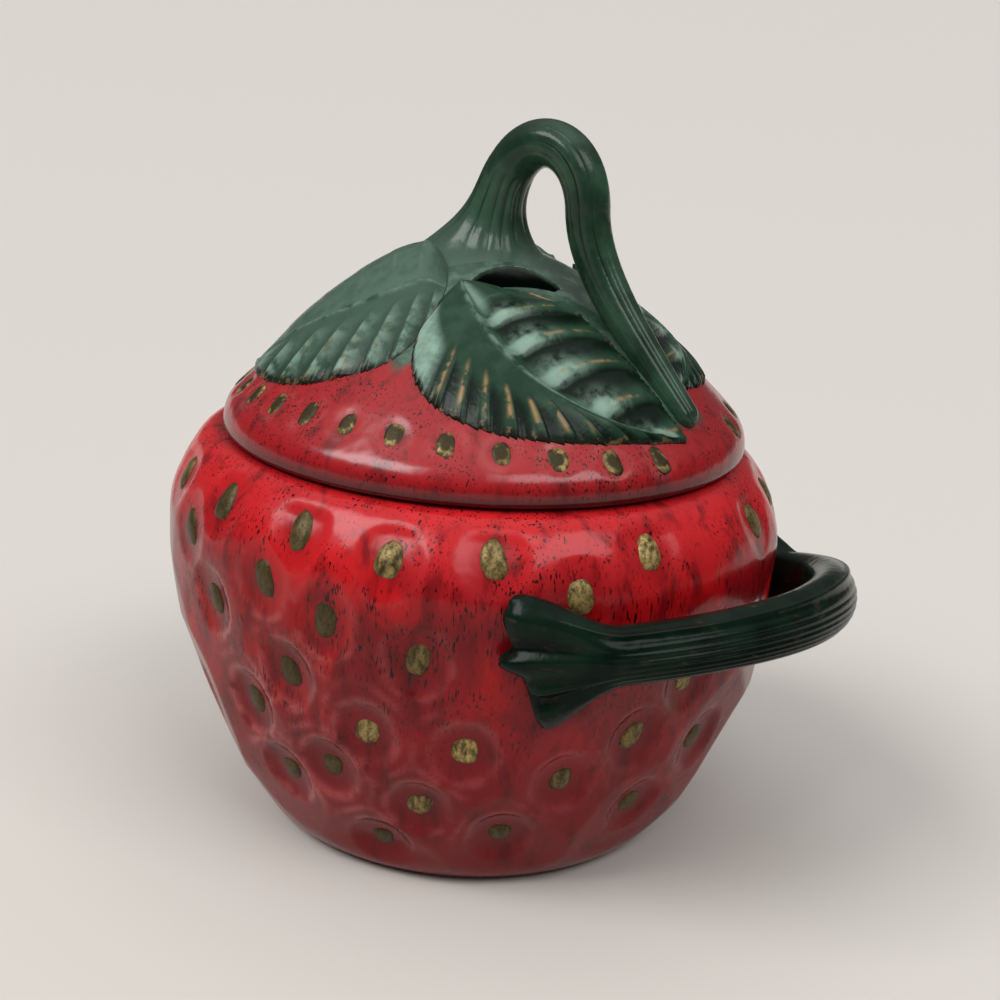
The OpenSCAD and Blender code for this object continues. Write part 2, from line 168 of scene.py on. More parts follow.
def pot_wall(angle, z):
    """Radius of the pot before it is dimpled: the plain wall with its swells, each a bell in angle."""
    r = plain_wall(z)
    for middle, spread, stand, low, full, fading, gone in WALL_SWELLS:
        r = r + stand * bell(turn_from(angle, middle), spread) * band(low, full, fading, gone, z)
    return r


SEED_POINTS = around(pot_wall(SEED_ANGLES, SEED_HEIGHTS), SEED_ANGLES, SEED_HEIGHTS)


def seeds_away(points):
    """Distance from each seed of the pot, measured shorter up and down."""
    squeeze = np.array([1, 1, DIMPLE_STRETCH])
    return np.linalg.norm((points[..., None, :] - SEED_POINTS) * squeeze, axis=-1)


def seed_distance(points):
    """Distance from the nearest seed of the pot, with the ridges between two seeds rounded off."""
    return -RIDGE_SOFTNESS * np.log(np.exp(-seeds_away(points) / RIDGE_SOFTNESS).sum(-1))


def pot_skin(angle, z):
    """Outside of the pot at angles and heights, and the directions straight out of it.

    The wall is pressed in by a wide hollow that fades HOLLOW_REACH away from the nearest seed, so that two
    hollows meet in a ridge, and by a crisp dimple inside it. Both are deeper low on the pot, and fade at
    the rim and at the foot.
    """
    above = pot_wall(angle, z + SLOPE_STEP)
    below = pot_wall(angle, np.maximum(z - SLOPE_STEP, 0))
    out = unit(around(1, angle, (below - above) / (2 * SLOPE_STEP)))
    points = around(pot_wall(angle, z), angle, z)
    nearest = seed_distance(points)
    hollow = HOLLOW_DEPTH * np.clip(1 - (nearest / HOLLOW_REACH) ** 2, 0, 1)
    dimple = DIMPLE_DEPTH * np.clip(1 - (nearest / DIMPLE_REACH) ** 4, 0, 1)
    press = hollow * (1 - 0.55 * eased(*HOLLOW_FADE, z)) + dimple * (1 - 0.6 * eased(*DIMPLE_FADE, z))
    press = press * band(*FOOT_FADE, *RIM_FADE, z)
    return points - out * press[..., None], out


def shell_mesh(name, rings, **paint):
    """Closed mesh over stacks of rings, an array of (shells, rings, points, xyz) in millimetres.

    Four-sided faces join each ring to the next and a fan of triangles closes each end. Each array in paint,
    spread over the rings where it is smaller, becomes an attribute of that name with one value a point.
    """
    shells, m, n, _ = rings.shape
    points = np.concatenate([rings.reshape(shells, m * n, 3), rings[:, [0, -1]].mean(2)], 1) * MM
    j = np.arange(n)
    a = np.arange(m - 1)[:, None] * n + j
    b = np.arange(m - 1)[:, None] * n + (j + 1) % n
    quads = np.stack([a, b, b + n, a + n], -1).reshape(-1, 4)
    first = np.stack([np.full(n, m * n), (j + 1) % n, j], -1)
    last = np.stack([np.full(n, m * n + 1), (m - 1) * n + j, (m - 1) * n + (j + 1) % n], -1)
    fans = np.concatenate([first, last])
    p, q, r = (points[0][corner] for corner in quads.T[:3])
    if (p * np.cross(q, r)).sum() < 0:
        quads, fans = quads[:, ::-1], fans[:, ::-1]
    shift = np.arange(shells)[:, None, None] * (m * n + 2)
    corners = np.concatenate([(quads + shift).ravel(), (fans + shift).ravel()])
    sizes = np.repeat([4, 3], [len(quads) * shells, len(fans) * shells])
    mesh = bpy.data.meshes.new(name)
    mesh.vertices.add(shells * (m * n + 2))
    mesh.vertices.foreach_set("co", points.ravel())
    mesh.loops.add(len(corners))
    mesh.loops.foreach_set("vertex_index", corners)
    mesh.polygons.add(len(sizes))
    mesh.polygons.foreach_set("loop_start", np.cumsum(sizes) - sizes)
    mesh.polygons.foreach_set("use_smooth", np.ones(len(sizes), bool))
    for label, values in paint.items():
        values = np.broadcast_to(values, rings.shape[:3])
        values = np.concatenate([values.reshape(shells, m * n), values[:, [0, -1]].mean(2)], 1)
        attribute = mesh.attributes.new(label, "FLOAT", "POINT")
        attribute.data.foreach_set("value", values.ravel().astype(np.float32))
    mesh.update(calc_edges=True)
    piece = bpy.data.objects.new(name, mesh)
    bpy.context.scene.collection.objects.link(piece)
    return piece


def shader_node(tree, kind, inputs=None, **settings):
    """One shader node with its settings. Each input is a value, or the socket that feeds it."""
    made = tree.nodes.new(kind)
    for key, value in settings.items():
        setattr(made, key, value)
    for socket, value in (inputs or {}).items():
        if isinstance(value, bpy.types.NodeSocket):
            tree.links.new(value, made.inputs[socket])
        else:
            made.inputs[socket].default_value = value
    return made


def new_finish(name):
    """An empty material, its node tree, its glossy surface shader and its Object coordinates."""
    finish = bpy.data.materials.new(name)
    finish.use_nodes = True
    tree = finish.node_tree
    surface = tree.nodes["Principled BSDF"]
    place = shader_node(tree, "ShaderNodeTexCoord").outputs["Object"]
    return finish, tree, surface, place


def mixed(tree, share, first, second):
    """Colour between first and second by a share from 0 to 1."""
    node = shader_node(tree, "ShaderNodeMix", {0: share, 6: first, 7: second}, data_type="RGBA")
    return node.outputs[2]


def ramped(tree, value, low, high):
    """Share from 0 at low to 1 at high."""
    node = shader_node(
        tree, "ShaderNodeMapRange", {"Value": value, "From Min": low, "From Max": high},
        interpolation_type="SMOOTHSTEP")
    return node.outputs["Result"]


def grain(tree, place, scale, stretch=(1, 1, 1), detail=3.0, distortion=0.0):
    """Cloudy noise of about 1 / scale metres, drawn out along an axis where stretch is under 1."""
    fitted = shader_node(tree, "ShaderNodeMapping", {"Vector": place, "Scale": stretch}).outputs[0]
    noise = shader_node(
        tree, "ShaderNodeTexNoise",
        {"Vector": fitted, "Scale": scale, "Detail": detail, "Roughness": 0.55, "Distortion": distortion})
    return noise.outputs[0]


def maths(tree, operation, *values):
    """Result of one operation on the values, in their order."""
    return shader_node(tree, "ShaderNodeMath", dict(enumerate(values)), operation=operation).outputs[0]


def product(tree, first, second):
    """Two shares multiplied."""
    return maths(tree, "MULTIPLY", first, second)


def painted(tree, label):
    """The attribute of that name."""
    return shader_node(tree, "ShaderNodeAttribute", attribute_name=label).outputs["Fac"]


def fired(tree, surface, color, relief, strength, depth, roughness, gloss):
    """Give a surface its colour, a relief up to depth metres deep, its roughness and its gloss."""
    bump = shader_node(tree, "ShaderNodeBump", {"Height": relief, "Strength": strength, "Distance": depth})
    tree.links.new(color, surface.inputs["Base Color"])
    tree.links.new(bump.outputs[0], surface.inputs["Normal"])
    surface.inputs["Roughness"].default_value = roughness
    surface.inputs["Specular IOR Level"].default_value = gloss


SCARLET = (0.40, 0.004, 0.006, 1)
LIT_SHOULDER_RED = (0.66, 0.018, 0.022, 1)
CRIMSON = (0.17, 0.003, 0.006, 1)
MAROON = (0.050, 0.002, 0.003, 1)
SPECK = (0.014, 0.003, 0.003, 1)
SHADE_BLACK = (0.002, 0.004, 0.003, 1)
ROSE_HIGHLIGHT = (0.46, 0.105, 0.10, 1)
IVORY = (0.66, 0.58, 0.44, 1)
CROWN_GREEN = (0.030, 0.066, 0.042, 1)
CROWN_PALE = (0.085, 0.145, 0.105, 1)


def red_glaze(name, dash, dulled, roughness, gloss):
    """Mottled red glaze: scarlet clouded with crimson, painted brighter on the shoulder as a painted
    highlight and deeper towards the table as painted shade, run with maroon, and with dark specks that dash
    draws out down the wall where it is under 1. Dulled is the share of crimson over all.

    Its attributes paint pale rose highlights on edges and ridges, darken it to maroon where the glaze pools
    and where painted shade falls under the lip and on the rim, turn it leaf green on the crown, near black
    as painted shade in the slot's walls, and ivory inside.
    """
    finish, tree, surface, place = new_finish(name)
    height = shader_node(tree, "ShaderNodeSeparateXYZ", {0: place}).outputs["Z"]
    clouds = ramped(tree, grain(tree, place, 46, (1, 1, 0.55), 5, 0.6), 0.35, 0.58)
    runs = ramped(tree, grain(tree, place, 150, (1, 1, 0.22), 4, 0.4), 0.50, 0.70)
    color = mixed(tree, clouds, SCARLET, CRIMSON)
    # Painted highlight: the shoulder is painted a brighter red where it would catch the overhead light.
    color = mixed(tree, product(tree, ramped(tree, height, 0.094, 0.122), 0.7), color, LIT_SHOULDER_RED)
    # Painted shade: the lower wall is painted darker crimson towards the table, where it faces away from the
    # light.
    color = mixed(tree, product(tree, ramped(tree, height, 0.104, 0.024), 0.95), color, CRIMSON)
    color = mixed(tree, dulled, color, CRIMSON)
    color = mixed(tree, product(tree, runs, 0.6), color, MAROON)
    # Painted highlight: pale rose where the dimples' edges and ridges are marked, broken up by noise.
    rose_breakup = ramped(tree, grain(tree, place, 120), 0.36, 0.62)
    color = mixed(tree, product(tree, painted(tree, "thin"), rose_breakup), color, ROSE_HIGHLIGHT)
    specks = ramped(tree, grain(tree, place, 1350, (1, 1, dash), 1.2), 0.59, 0.66)
    patches = ramped(tree, grain(tree, place, 75), 0.36, 0.58)
    patches = product(tree, patches, ramped(tree, height, 0.02, 0.085))
    color = mixed(tree, product(tree, specks, patches), color, SPECK)
    pooled = painted(tree, "pooled")
    color = mixed(tree, pooled, color, MAROON)
    pale_share = ramped(tree, grain(tree, place, 150, detail=4), 0.42, 0.68)
    crown = mixed(tree, pale_share, CROWN_GREEN, CROWN_PALE)
    # Painted shade: where the slot's walls are marked, the crown's green is painted near black.
    crown = mixed(tree, pooled, crown, SHADE_BLACK)
    color = mixed(tree, painted(tree, "crown"), color, crown)
    color = mixed(tree, painted(tree, "inside"), color, IVORY)
    fired(tree, surface, color, grain(tree, place, 110, detail=2), 0.12, 0.002, roughness, gloss)
    return finish


def pot_rings():
    """Rings of the pot from the middle of its base, up the outside, over the rim and down the inside.

    The glaze is ivory inside, is painted with pale rose highlights over the dimples' edges and the ridges,
    most of all at the left, pools in the dimples, and is painted dark on the rim as painted shade under the
    lid.
    """
    angle = np.linspace(0, 360, RING_POINTS, endpoint=False)
    quarter = np.radians(np.linspace(0, 90, 112))
    belly_rows = BELLY_HEIGHT * (1 - np.cos(quarter) ** BELLY_POWER)
    shoulder_rows = BELLY_HEIGHT + (RIM_HEIGHT - BELLY_HEIGHT) * np.sin(quarter[2::2]) ** SHOULDER_POWER
    outside = pot_skin(angle, np.concatenate([belly_rows, shoulder_rows])[:, None])[0]
    base = around(np.linspace(3, BASE_RADIUS - 0.5, 6)[:, None], angle, 0.0)
    rim_r = MOUTH_RADIUS + np.array([RIM_WIDTH - 0.8, 4, RIM_EDGE, 0.4])
    rim_z = RIM_HEIGHT - np.array([0, 0, 0, RIM_EDGE - 0.4])
    rim = around(rim_r[:, None], angle, rim_z[:, None])
    inner_base = BASE_RADIUS - POT_WALL
    inner_top = RIM_HEIGHT - POT_WALL
    inner_rows = np.linspace(inner_top, POT_FLOOR, 24) + 0.01
    inner_z = np.concatenate([[RIM_HEIGHT - RIM_EDGE - 0.6], inner_rows])
    inner_r = wall_radius(inner_z, POT_FLOOR, inner_base, POT_RADIUS - POT_WALL, inner_top, MOUTH_RADIUS)
    inside = around(inner_r[:, None], angle, inner_z[:, None])
    floor = around(np.linspace(inner_base - 0.5, 3, 6)[:, None], angle, POT_FLOOR)
    rows = [base, outside, rim, inside, floor]
    ivory = np.repeat([0, 0, 0.5, 1, 1], [len(row) for row in rows])[:, None]
    points = np.concatenate(rows)
    z = points[..., 2]
    nearest, second = np.moveaxis(np.partition(seeds_away(points), 1, -1)[..., :2], -1, 0)
    # Painted highlights: pale rose lines on the dimples' edges and the ridges, strongest at the left.
    edge = 0.7 * bell(nearest, EDGE_LINE, DIMPLE_REACH) * (1 - 0.8 * eased(*EDGE_FADE, z))
    ridge = bell(second - nearest, RIDGE_LINE) * (1 - eased(*RIDGE_FADE, z))
    ridge = ridge * (1 - eased(*RIDGE_REACH, nearest))
    leftward = 0.22 + 0.78 * bell(turn_from(angle, HIGHLIGHT_TURN), HIGHLIGHT_SPREAD)
    thin = np.maximum(edge, ridge) * leftward * eased(*HIGHLIGHT_START, z)
    # Glaze pools in the dimples round the seeds; the dark band on the rim's top is painted shade under the
    # lid.
    pooled = 0.4 * eased(RIM_HEIGHT - 1.0, RIM_HEIGHT - 0.1, z) + 0.45 * bell(nearest, POOL_REACH)
    return points, {"inside": ivory, "thin": thin, "pooled": pooled, "crown": 0.0}


rings, paint = pot_rings()
pot = shell_mesh("pot_body", rings[None], **paint)
pot.data.materials.append(red_glaze("pot_red_glaze", dash=0.18, dulled=0.0, roughness=0.2, gloss=0.24))
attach(pot, "pot")
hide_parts("pot")


# Pot seeds: low dabs of clay set in the floors of the dimples, brushed with bronze and gold.
# Each is a little different in size, lean and brightness, as hand work is.

SEED_WIDTH = 8.8
SEED_LENGTH = 13.6
SEED_HEIGHT = 1.1
SEED_SINK = 0.6
draws = np.random.default_rng(7)
OLIVE = (0.042, 0.030, 0.010, 1)
OLD_GOLD = (0.46, 0.33, 0.115, 1)
UMBER = (0.026, 0.010, 0.007, 1)


def seed_dome(count, width, length, height, sink):
    """Seeds lying flat: side way x, long way y and height h over unit rings that run from the top out to
    the edge and back in underneath. Width tapers a little to one end, and each seed differs a little."""
    reach = np.concatenate([np.linspace(0.06, 1, 14), [0.97, 0.5, 0.1]])[:, None]
    under = np.concatenate([np.zeros(14), np.ones(3)])[:, None]
    turn = np.linspace(0, 2 * np.pi, 36, endpoint=False)
    size = draws.uniform(0.90, 1.06, (2, count, 1, 1))
    taper = draws.uniform(-0.10, 0.12, (count, 1, 1))
    lean = np.radians(draws.normal(0, 7, (count, 1, 1)))
    bumps = draws.uniform(0, 2 * np.pi, (count, 1, 1))
    reach_out = reach * (1 + 0.03 * np.sin(3 * turn + bumps) + 0.02 * np.sin(7 * turn + 2 * bumps))
    long = reach_out * np.sign(np.sin(turn)) * np.abs(np.sin(turn)) ** 0.84
    wide = reach_out * np.sign(np.cos(turn)) * np.abs(np.cos(turn)) ** 0.84
    x = wide * (1 - taper * long) * width / 2 * size[0]
    y = long * length / 2 * size[1]
    h = np.where(under > 0, -sink, height * (1 - reach ** 2.6) - sink * reach ** 6)
    lean_x = x * np.cos(lean) - y * np.sin(lean)
    lean_y = x * np.sin(lean) + y * np.cos(lean)
    return lean_x, lean_y, h, reach


def pot_seed_rings():
    """Seeds laid on the dimpled pot: each flat seed is wrapped round the wall and raised along its direction
    out. Seeds lower on the pot are shorter."""
    x, y, h, reach = seed_dome(len(SEED_ANGLES), SEED_WIDTH, SEED_LENGTH, SEED_HEIGHT, SEED_SINK)
    z = SEED_HEIGHTS[:, None, None]
    angle = SEED_ANGLES[:, None, None]
    shorter = 0.62 + 0.42 * z / RIM_HEIGHT
    step = 1.0
    lean_in = (pot_wall(angle, z + step) - pot_wall(angle, z - step)) / (2 * step)
    angle = angle + np.degrees(x / pot_wall(angle, z))
    skin, out = pot_skin(angle, z + shorter * y / np.hypot(1, lean_in))
    return skin + out * h[..., None], SEED_GILDING[:, None, None], reach


def seed_bronze(name, ringed):
    """Bronze and gold brushed on thinly: olive under streaks of gold, brighter on some seeds, and umber
    round the edge. Ringed seeds have their gold in a broken ring only."""
    finish, tree, surface, place = new_finish(name)
    reach = painted(tree, "reach")
    streaks = ramped(tree, grain(tree, place, 620, (1, 1, 0.4), 4), 0.28, 0.66)
    gold = product(tree, streaks, painted(tree, "gild"))
    if ringed:
        broken = ramped(tree, grain(tree, place, 210), 0.44, 0.56)
        ring = product(tree, ramped(tree, reach, 0.35, 0.6), broken)
        gold = product(tree, gold, ring)
    color = mixed(tree, gold, OLIVE, OLD_GOLD)
    flecks = ramped(tree, grain(tree, place, 1500, detail=2), 0.52, 0.66)
    color = mixed(tree, product(tree, flecks, 0.6), color, UMBER)
    color = mixed(tree, ramped(tree, reach, 0.78, 0.97), color, UMBER)
    fired(tree, surface, color, grain(tree, place, 1200), 0.25, 0.0006, roughness=0.38, gloss=0.2)
    surface.inputs["Metallic"].default_value = 0.3
    return finish


rings, gild, reach = pot_seed_rings()
pot_seeds = shell_mesh("pot_seed_dabs", rings, gild=gild, reach=reach)
pot_seeds.data.materials.append(seed_bronze("pot_seed_bronze", ringed=False))
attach(pot_seeds, "pot")
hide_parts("pot_seeds")


# Side handle: a ribbed stalk pulled from a strip of clay, bowed out from the pot and luted on at both ends.
# Its feet are pressed flat and fan out in rounded lobes. The glaze is dark green and glossy.

HANDLE_HEIGHT = 96
FINGER_GAP = 12
BAR_THICKNESS = 15.7
BAR_HEIGHT = 17
BAR_SWELL = 3
FOOT_ANGLE = 46
FRONT_FAN = 0.7 * FOOT_ANGLE
BACK_FAN = 0.84 * FOOT_ANGLE
FOOT_HEIGHT = 42
FOOT_THICKNESS = 9
FOOT_DROP = 14
FRONT_LEAN = 8
BACK_LEAN = 7
FRONT_BOW_POWER = 1.7
BACK_BOW_POWER = 2.4
HANDLE_NOSE = 0.05
FOLD_HEIGHT = 1.3
BAR_RIBS = 24
BAR_RIB_HEIGHT = 0.42
RIB_TURN = -12
RIB_SPREAD = 46
SEAM_HEIGHT = 0.9
SEAM_TURN = 58
SEAM_SPREAD = 6
HANDLE_BED = 0.6

# End of a foot from bottom to top: level over its middle, how far it runs on there and how high it folds up
FOOT_LOBES = np.array([
    [-21, -0.5, 0.0], [-16, 0.5, 1.0], [-10, -2.0, -1.0], [-7.5, 1.0, 0.4], [-4.5, 2.0, -0.6],
    [2.5, 8.0, 0.9], [7, 3.0, -1.0], [16, 4.5, 1.0], [21, 2.0, 0.0],
])
BLACK_GREEN = (0.0012, 0.005, 0.0028, 1)
DEEP_GREEN = (0.004, 0.014, 0.008, 1)
SAGE = (0.075, 0.130, 0.093, 1)
BARK = (0.040, 0.026, 0.013, 1)


def crossed(way, side):
    """Unit directions square to a path: out from its inner side, and sideways near the given side."""
    way = unit(way)
    out = unit(np.cross(way, side))
    return way, out, np.cross(out, way)


def rib_swell(turn, ribs):
    """Height over a ribbed stalk at ring angle turn, from -1 in sharp valleys to 1 on round crests."""
    uneven = turn + 0.10 * np.sin(3 * turn + 0.6)
    return 2 * np.abs(np.sin(ribs / 2 * uneven)) ** 0.8 - 1


def handle_path(angle):
    """Middle line of the handle: it bows out from the wall, hangs towards its feet, slopes to the back and
    turns in more sharply there."""
    share = angle / FOOT_ANGLE
    z = HANDLE_HEIGHT - FOOT_DROP * share ** 2 - np.where(share > 0, BACK_LEAN, FRONT_LEAN) * share
    bow = 1 - np.minimum(1, np.abs(share)) ** np.where(share > 0, BACK_BOW_POWER, FRONT_BOW_POWER)
    stand = FOOT_THICKNESS / 2 + (FINGER_GAP + BAR_THICKNESS / 2 - FOOT_THICKNESS / 2) * bow
    return around(plain_wall(z) + stand, angle, z)


def lobed(level):
    """How far a foot runs on and how high it folds up at a level over its middle, eased between lobes."""
    i = np.clip(np.searchsorted(FOOT_LOBES[:, 0], level) - 1, 0, len(FOOT_LOBES) - 2)
    low, high = FOOT_LOBES[i], FOOT_LOBES[i + 1]
    share = eased(low[:, 0], high[:, 0], level)[:, None]
    return (low[:, 1:] + (high - low)[:, 1:] * share).T


def handle_rings():
    """Rings of the handle: ovals along the path that flatten and fan out at the feet, bend with the wall and
    stop at the pot's skin. A raised seam runs along the upper front of the bar and fine ribs below it,
    and the feet lie in folds that end in lobes."""
    angle = np.linspace(-FOOT_ANGLE, FOOT_ANGLE, 170)[:, None]
    turn = np.linspace(0, 2 * np.pi, 192, endpoint=False)
    share = np.abs(angle) / FOOT_ANGLE
    fan = eased(np.where(angle > 0, BACK_FAN, FRONT_FAN), FOOT_ANGLE, np.abs(angle))
    nose = np.sqrt(1 - 0.9 * np.clip((share - 1 + HANDLE_NOSE) / HANDLE_NOSE, 0, 1) ** 2)
    middle = handle_path(angle[:, 0])
    ahead = handle_path(angle[:, 0] + 0.3) - handle_path(angle[:, 0] - 0.3)
    way, out, up = crossed(ahead, [0, 0, 1.0])
    reach, fold = lobed(FOOT_HEIGHT / 2 * np.sin(turn))
    degrees = turn_from(np.degrees(turn), 0)
    ribs = rib_swell(turn, BAR_RIBS) * bell(degrees, RIB_SPREAD, RIB_TURN) * (1 - eased(0.45, 0.9, share))
    seam = bell(degrees, SEAM_SPREAD, SEAM_TURN)
    swell = BAR_RIB_HEIGHT * ribs + SEAM_HEIGHT * seam * (1 - fan) + FOLD_HEIGHT * fold * fan
    thick = (BAR_THICKNESS + (FOOT_THICKNESS - BAR_THICKNESS) * fan) / 2 * nose
    bar_height = BAR_HEIGHT + BAR_SWELL * eased(-0.5 * FOOT_ANGLE, 0.4 * FOOT_ANGLE, angle)
    high = (bar_height + (FOOT_HEIGHT - bar_height) * fan) / 2 * (1 - 0.1 * (1 - nose))
    across = (thick + swell * nose) * np.sign(np.cos(turn)) * np.abs(np.cos(turn)) ** (1 - 0.4 * fan)
    upward = (high + swell * (1 - fan)) * np.sin(turn)
    onward = reach * fan ** 3 * np.sign(angle)
    points = (middle[:, None] + across[..., None] * out[:, None] + upward[..., None] * up[:, None]
              + onward[..., None] * way[:, None])
    where = np.degrees(np.arctan2(points[..., 1], points[..., 0]))
    z = points[..., 2]
    r = off_axis(points)
    bend = fan * (plain_wall(z) - plain_wall(middle[:, None, 2]))
    kept = np.maximum(r + bend, off_axis(pot_skin(where, z)[0]) - HANDLE_BED)
    return around(kept, where, z), {"rib": ribs * (1 - fan) + fold * fan, "tint_and_sheen": 0.0}


def stalk_green(name, deep, light, gloss):
    """Dark green gloss over ribs: light green in patches over deep green, painted shade near black in the
    valleys between ribs and folds, brown where the brush missed, and a sage tint that is partly painted
    sheen."""
    finish, tree, surface, place = new_finish(name)
    crest = painted(tree, "rib")
    patches = ramped(tree, grain(tree, place, 60, detail=4), 0.36, 0.66)
    color = mixed(tree, patches, deep, light)
    # Painted shade: the valleys between the ribs, folds and flutes are painted near black.
    color = mixed(tree, ramped(tree, crest, -0.1, -0.9), color, SHADE_BLACK)
    streaks = ramped(tree, grain(tree, place, 140, (1, 1, 2.5), 5, 0.4), 0.60, 0.74)
    color = mixed(tree, product(tree, streaks, 0.8), color, BARK)
    # A sage tint, partly painted sheen, where the stem's root runs into the leaves.
    color = mixed(tree, painted(tree, "tint_and_sheen"), color, SAGE)
    fired(tree, surface, color, grain(tree, place, 260), 0.15, 0.0012, roughness=0.2, gloss=gloss)
    return finish


rings, paint = handle_rings()
side_handle = shell_mesh("side_handle_stalk", rings[None], **paint)
side_handle.data.materials.append(stalk_green("side_handle_green", BLACK_GREEN, DEEP_GREEN, gloss=0.1))
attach(side_handle, "pot")
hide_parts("side_handle")


# Lid: a cast dome with a rolled lip that overhangs the rim, and a ring below that centres it in the mouth.
# It has the pot's red glaze, darker under the lip from pooled glaze and painted shade, with a green crown
# round the stem, and a vent slot whose walls are painted near black as painted shade.

LID_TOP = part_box("lid")[1].z / MM
EAVE_RADIUS = 80
DOME_RISE = 50
DOME_POWER = 1.6
LIP_ROUND = 12
LIP_EDGE = 2.6
SEAT_GAP = 0.3
LID_WALL = 7
COLLAR_RADIUS = 71
COLLAR_THICKNESS = 4.5
COLLAR_DEPTH = 12
SLOT_ANGLE = -40
SLOT_RADIUS = 25
SLOT_LENGTH = 30
SLOT_WIDTH = 7.5
SLOT_UNDER_LEAF = 2.5
LID_SEED_COUNT = 30
LID_SEED_BREAK = 10
LID_DIMPLE_REACH = 6.5
LID_DIMPLE_DEPTH = 0.5
CROWN_RADIUS = 36
CROWN_REACH = 20
LEAF_GAP_ANGLE = 82
LEAF_GAP_SPREAD = 9
STEM_TRACK_EDGE = (9, 12)
STEM_TRACK_END = (72, 76)
LID_SEED_TURN = 3
lid_seed_steps = 360 * (np.arange(LID_SEED_COUNT) + 0.5) / LID_SEED_COUNT + LID_SEED_TURN
LID_SEED_ANGLES = lid_seed_steps[np.abs(turn_from(lid_seed_steps, 0)) > LID_SEED_BREAK]
LID_SEED_RADII = EAVE_RADIUS - 3 + 3 * np.cos(np.radians(2 * LID_SEED_ANGLES))


def dome(r):
    """Height of the dome at distance r from the axis: the crown less a power of r."""
    return LID_TOP - DOME_RISE * (np.abs(r) / EAVE_RADIUS) ** DOME_POWER


LID_SEED_POINTS = around(LID_SEED_RADII, LID_SEED_ANGLES, dome(LID_SEED_RADII))


def dome_out(angle, r):
    """Directions straight out of the dome."""
    fall = DOME_POWER * DOME_RISE / EAVE_RADIUS * (r / EAVE_RADIUS) ** (DOME_POWER - 1)
    return unit(around(fall, angle, 1.0))


def lid_seed_distance(points):
    """Distance from the nearest seed of the lid."""
    return np.linalg.norm(points[..., None, :] - LID_SEED_POINTS, axis=-1).min(-1)


def lid_press(points):
    """How deep the dimple round the nearest seed of the lid is at each point."""
    return LID_DIMPLE_DEPTH * np.clip(1 - (lid_seed_distance(points) / LID_DIMPLE_REACH) ** 2, 0, 1) ** 1.3


def lid_skin(angle, r):
    """Outside of the dome with the dimples of its seeds, and the directions straight out of it."""
    points = around(r, angle, dome(r))
    out = dome_out(angle, r)
    return points - out * lid_press(points)[..., None], out


def lid_rings():
    """Rings of the lid from its crown, down the dome, round the rolled lip, in under the seat, round the
    centring ring and up the inside to the middle.

    The glaze is darker under the lip, where it pools and where painted shade falls, is green on the crown,
    between the leaves and under the stem, is ivory inside, and is painted with faint pale rose highlights
    round the seeds.
    """
    angle = np.linspace(0, 360, RING_POINTS, endpoint=False)
    slope = np.arctan(DOME_POWER * DOME_RISE / EAVE_RADIUS)
    lip_r = EAVE_RADIUS - LIP_ROUND * np.sin(slope)
    lip_z = dome(EAVE_RADIUS) - LIP_ROUND * np.cos(slope)
    seat_z = RIM_HEIGHT + SEAT_GAP
    dome_r = np.linspace(2, EAVE_RADIUS, 84)
    roll = np.linspace(np.pi / 2 - slope, 0, 18)[1:]
    edge = np.linspace(0, -np.pi / 2, 10)[1:]
    edge_r = lip_r + LIP_ROUND - LIP_EDGE
    collar_in = COLLAR_RADIUS - COLLAR_THICKNESS
    collar_z = RIM_HEIGHT - COLLAR_DEPTH
    seat_r = MOUTH_RADIUS + RIM_WIDTH / 2
    under_r = np.array([seat_r + 2, seat_r, seat_r - 0.3, COLLAR_RADIUS + 0.3, COLLAR_RADIUS, COLLAR_RADIUS,
                        COLLAR_RADIUS - 1, collar_in + 1, collar_in, collar_in])
    under_z = np.array([seat_z, seat_z, dome(seat_r) - LID_WALL, dome(COLLAR_RADIUS) - LID_WALL,
                        dome(COLLAR_RADIUS) - LID_WALL - 0.3, collar_z + 1, collar_z, collar_z, collar_z + 1,
                        dome(collar_in) - LID_WALL - 0.3])
    inner_r = np.linspace(collar_in - 0.4, 2, 40)
    r = np.concatenate([
        dome_r, lip_r + LIP_ROUND * np.cos(roll), edge_r + LIP_EDGE * np.cos(edge), under_r, inner_r])
    z = np.concatenate([
        dome(dome_r), lip_z + LIP_ROUND * np.sin(roll), seat_z + LIP_EDGE * (1 + np.sin(edge)), under_z,
        dome(inner_r) - LID_WALL])
    points = around(r[:, None], angle, z[:, None])
    top = np.arange(len(r)) < len(dome_r) + 6
    press = np.where(top[:, None], lid_press(points), 0)
    points -= dome_out(angle, np.minimum(r, EAVE_RADIUS)[:, None]) * press[..., None]
    rows = np.arange(len(r))[:, None]
    first_under = len(dome_r) + len(roll) + len(edge)
    ivory = np.where(rows > first_under + 1, 1.0, 0.0)
    # Pooled glaze and painted shade: the lip is painted darker from its middle down, where it is shaded.
    pooled = 0.96 * eased(lip_z + 5, lip_z - 1.5, z[:, None]) * (rows >= len(dome_r)) * (1 - ivory)
    between_leaves = bell(turn_from(np.abs(turn_from(angle, 0)), LEAF_GAP_ANGLE), LEAF_GAP_SPREAD)
    crown = 1 - eased(0, 5, r[:, None] - CROWN_RADIUS - CROWN_REACH * between_leaves)
    beside_stem = 1 - eased(*STEM_TRACK_EDGE, np.abs(points[..., 1]))
    under_stem = beside_stem * (points[..., 0] > 0) * (1 - eased(*STEM_TRACK_END, r[:, None]))
    crown = np.maximum(crown, under_stem) * (rows < len(dome_r))
    # Painted highlight: faint pale rose rings on the edges of the seeds' dimples.
    thin = 0.3 * bell(lid_seed_distance(points), 1.5, LID_DIMPLE_REACH - 1)
    return points, {"pooled": pooled, "crown": crown, "inside": ivory, "thin": thin}


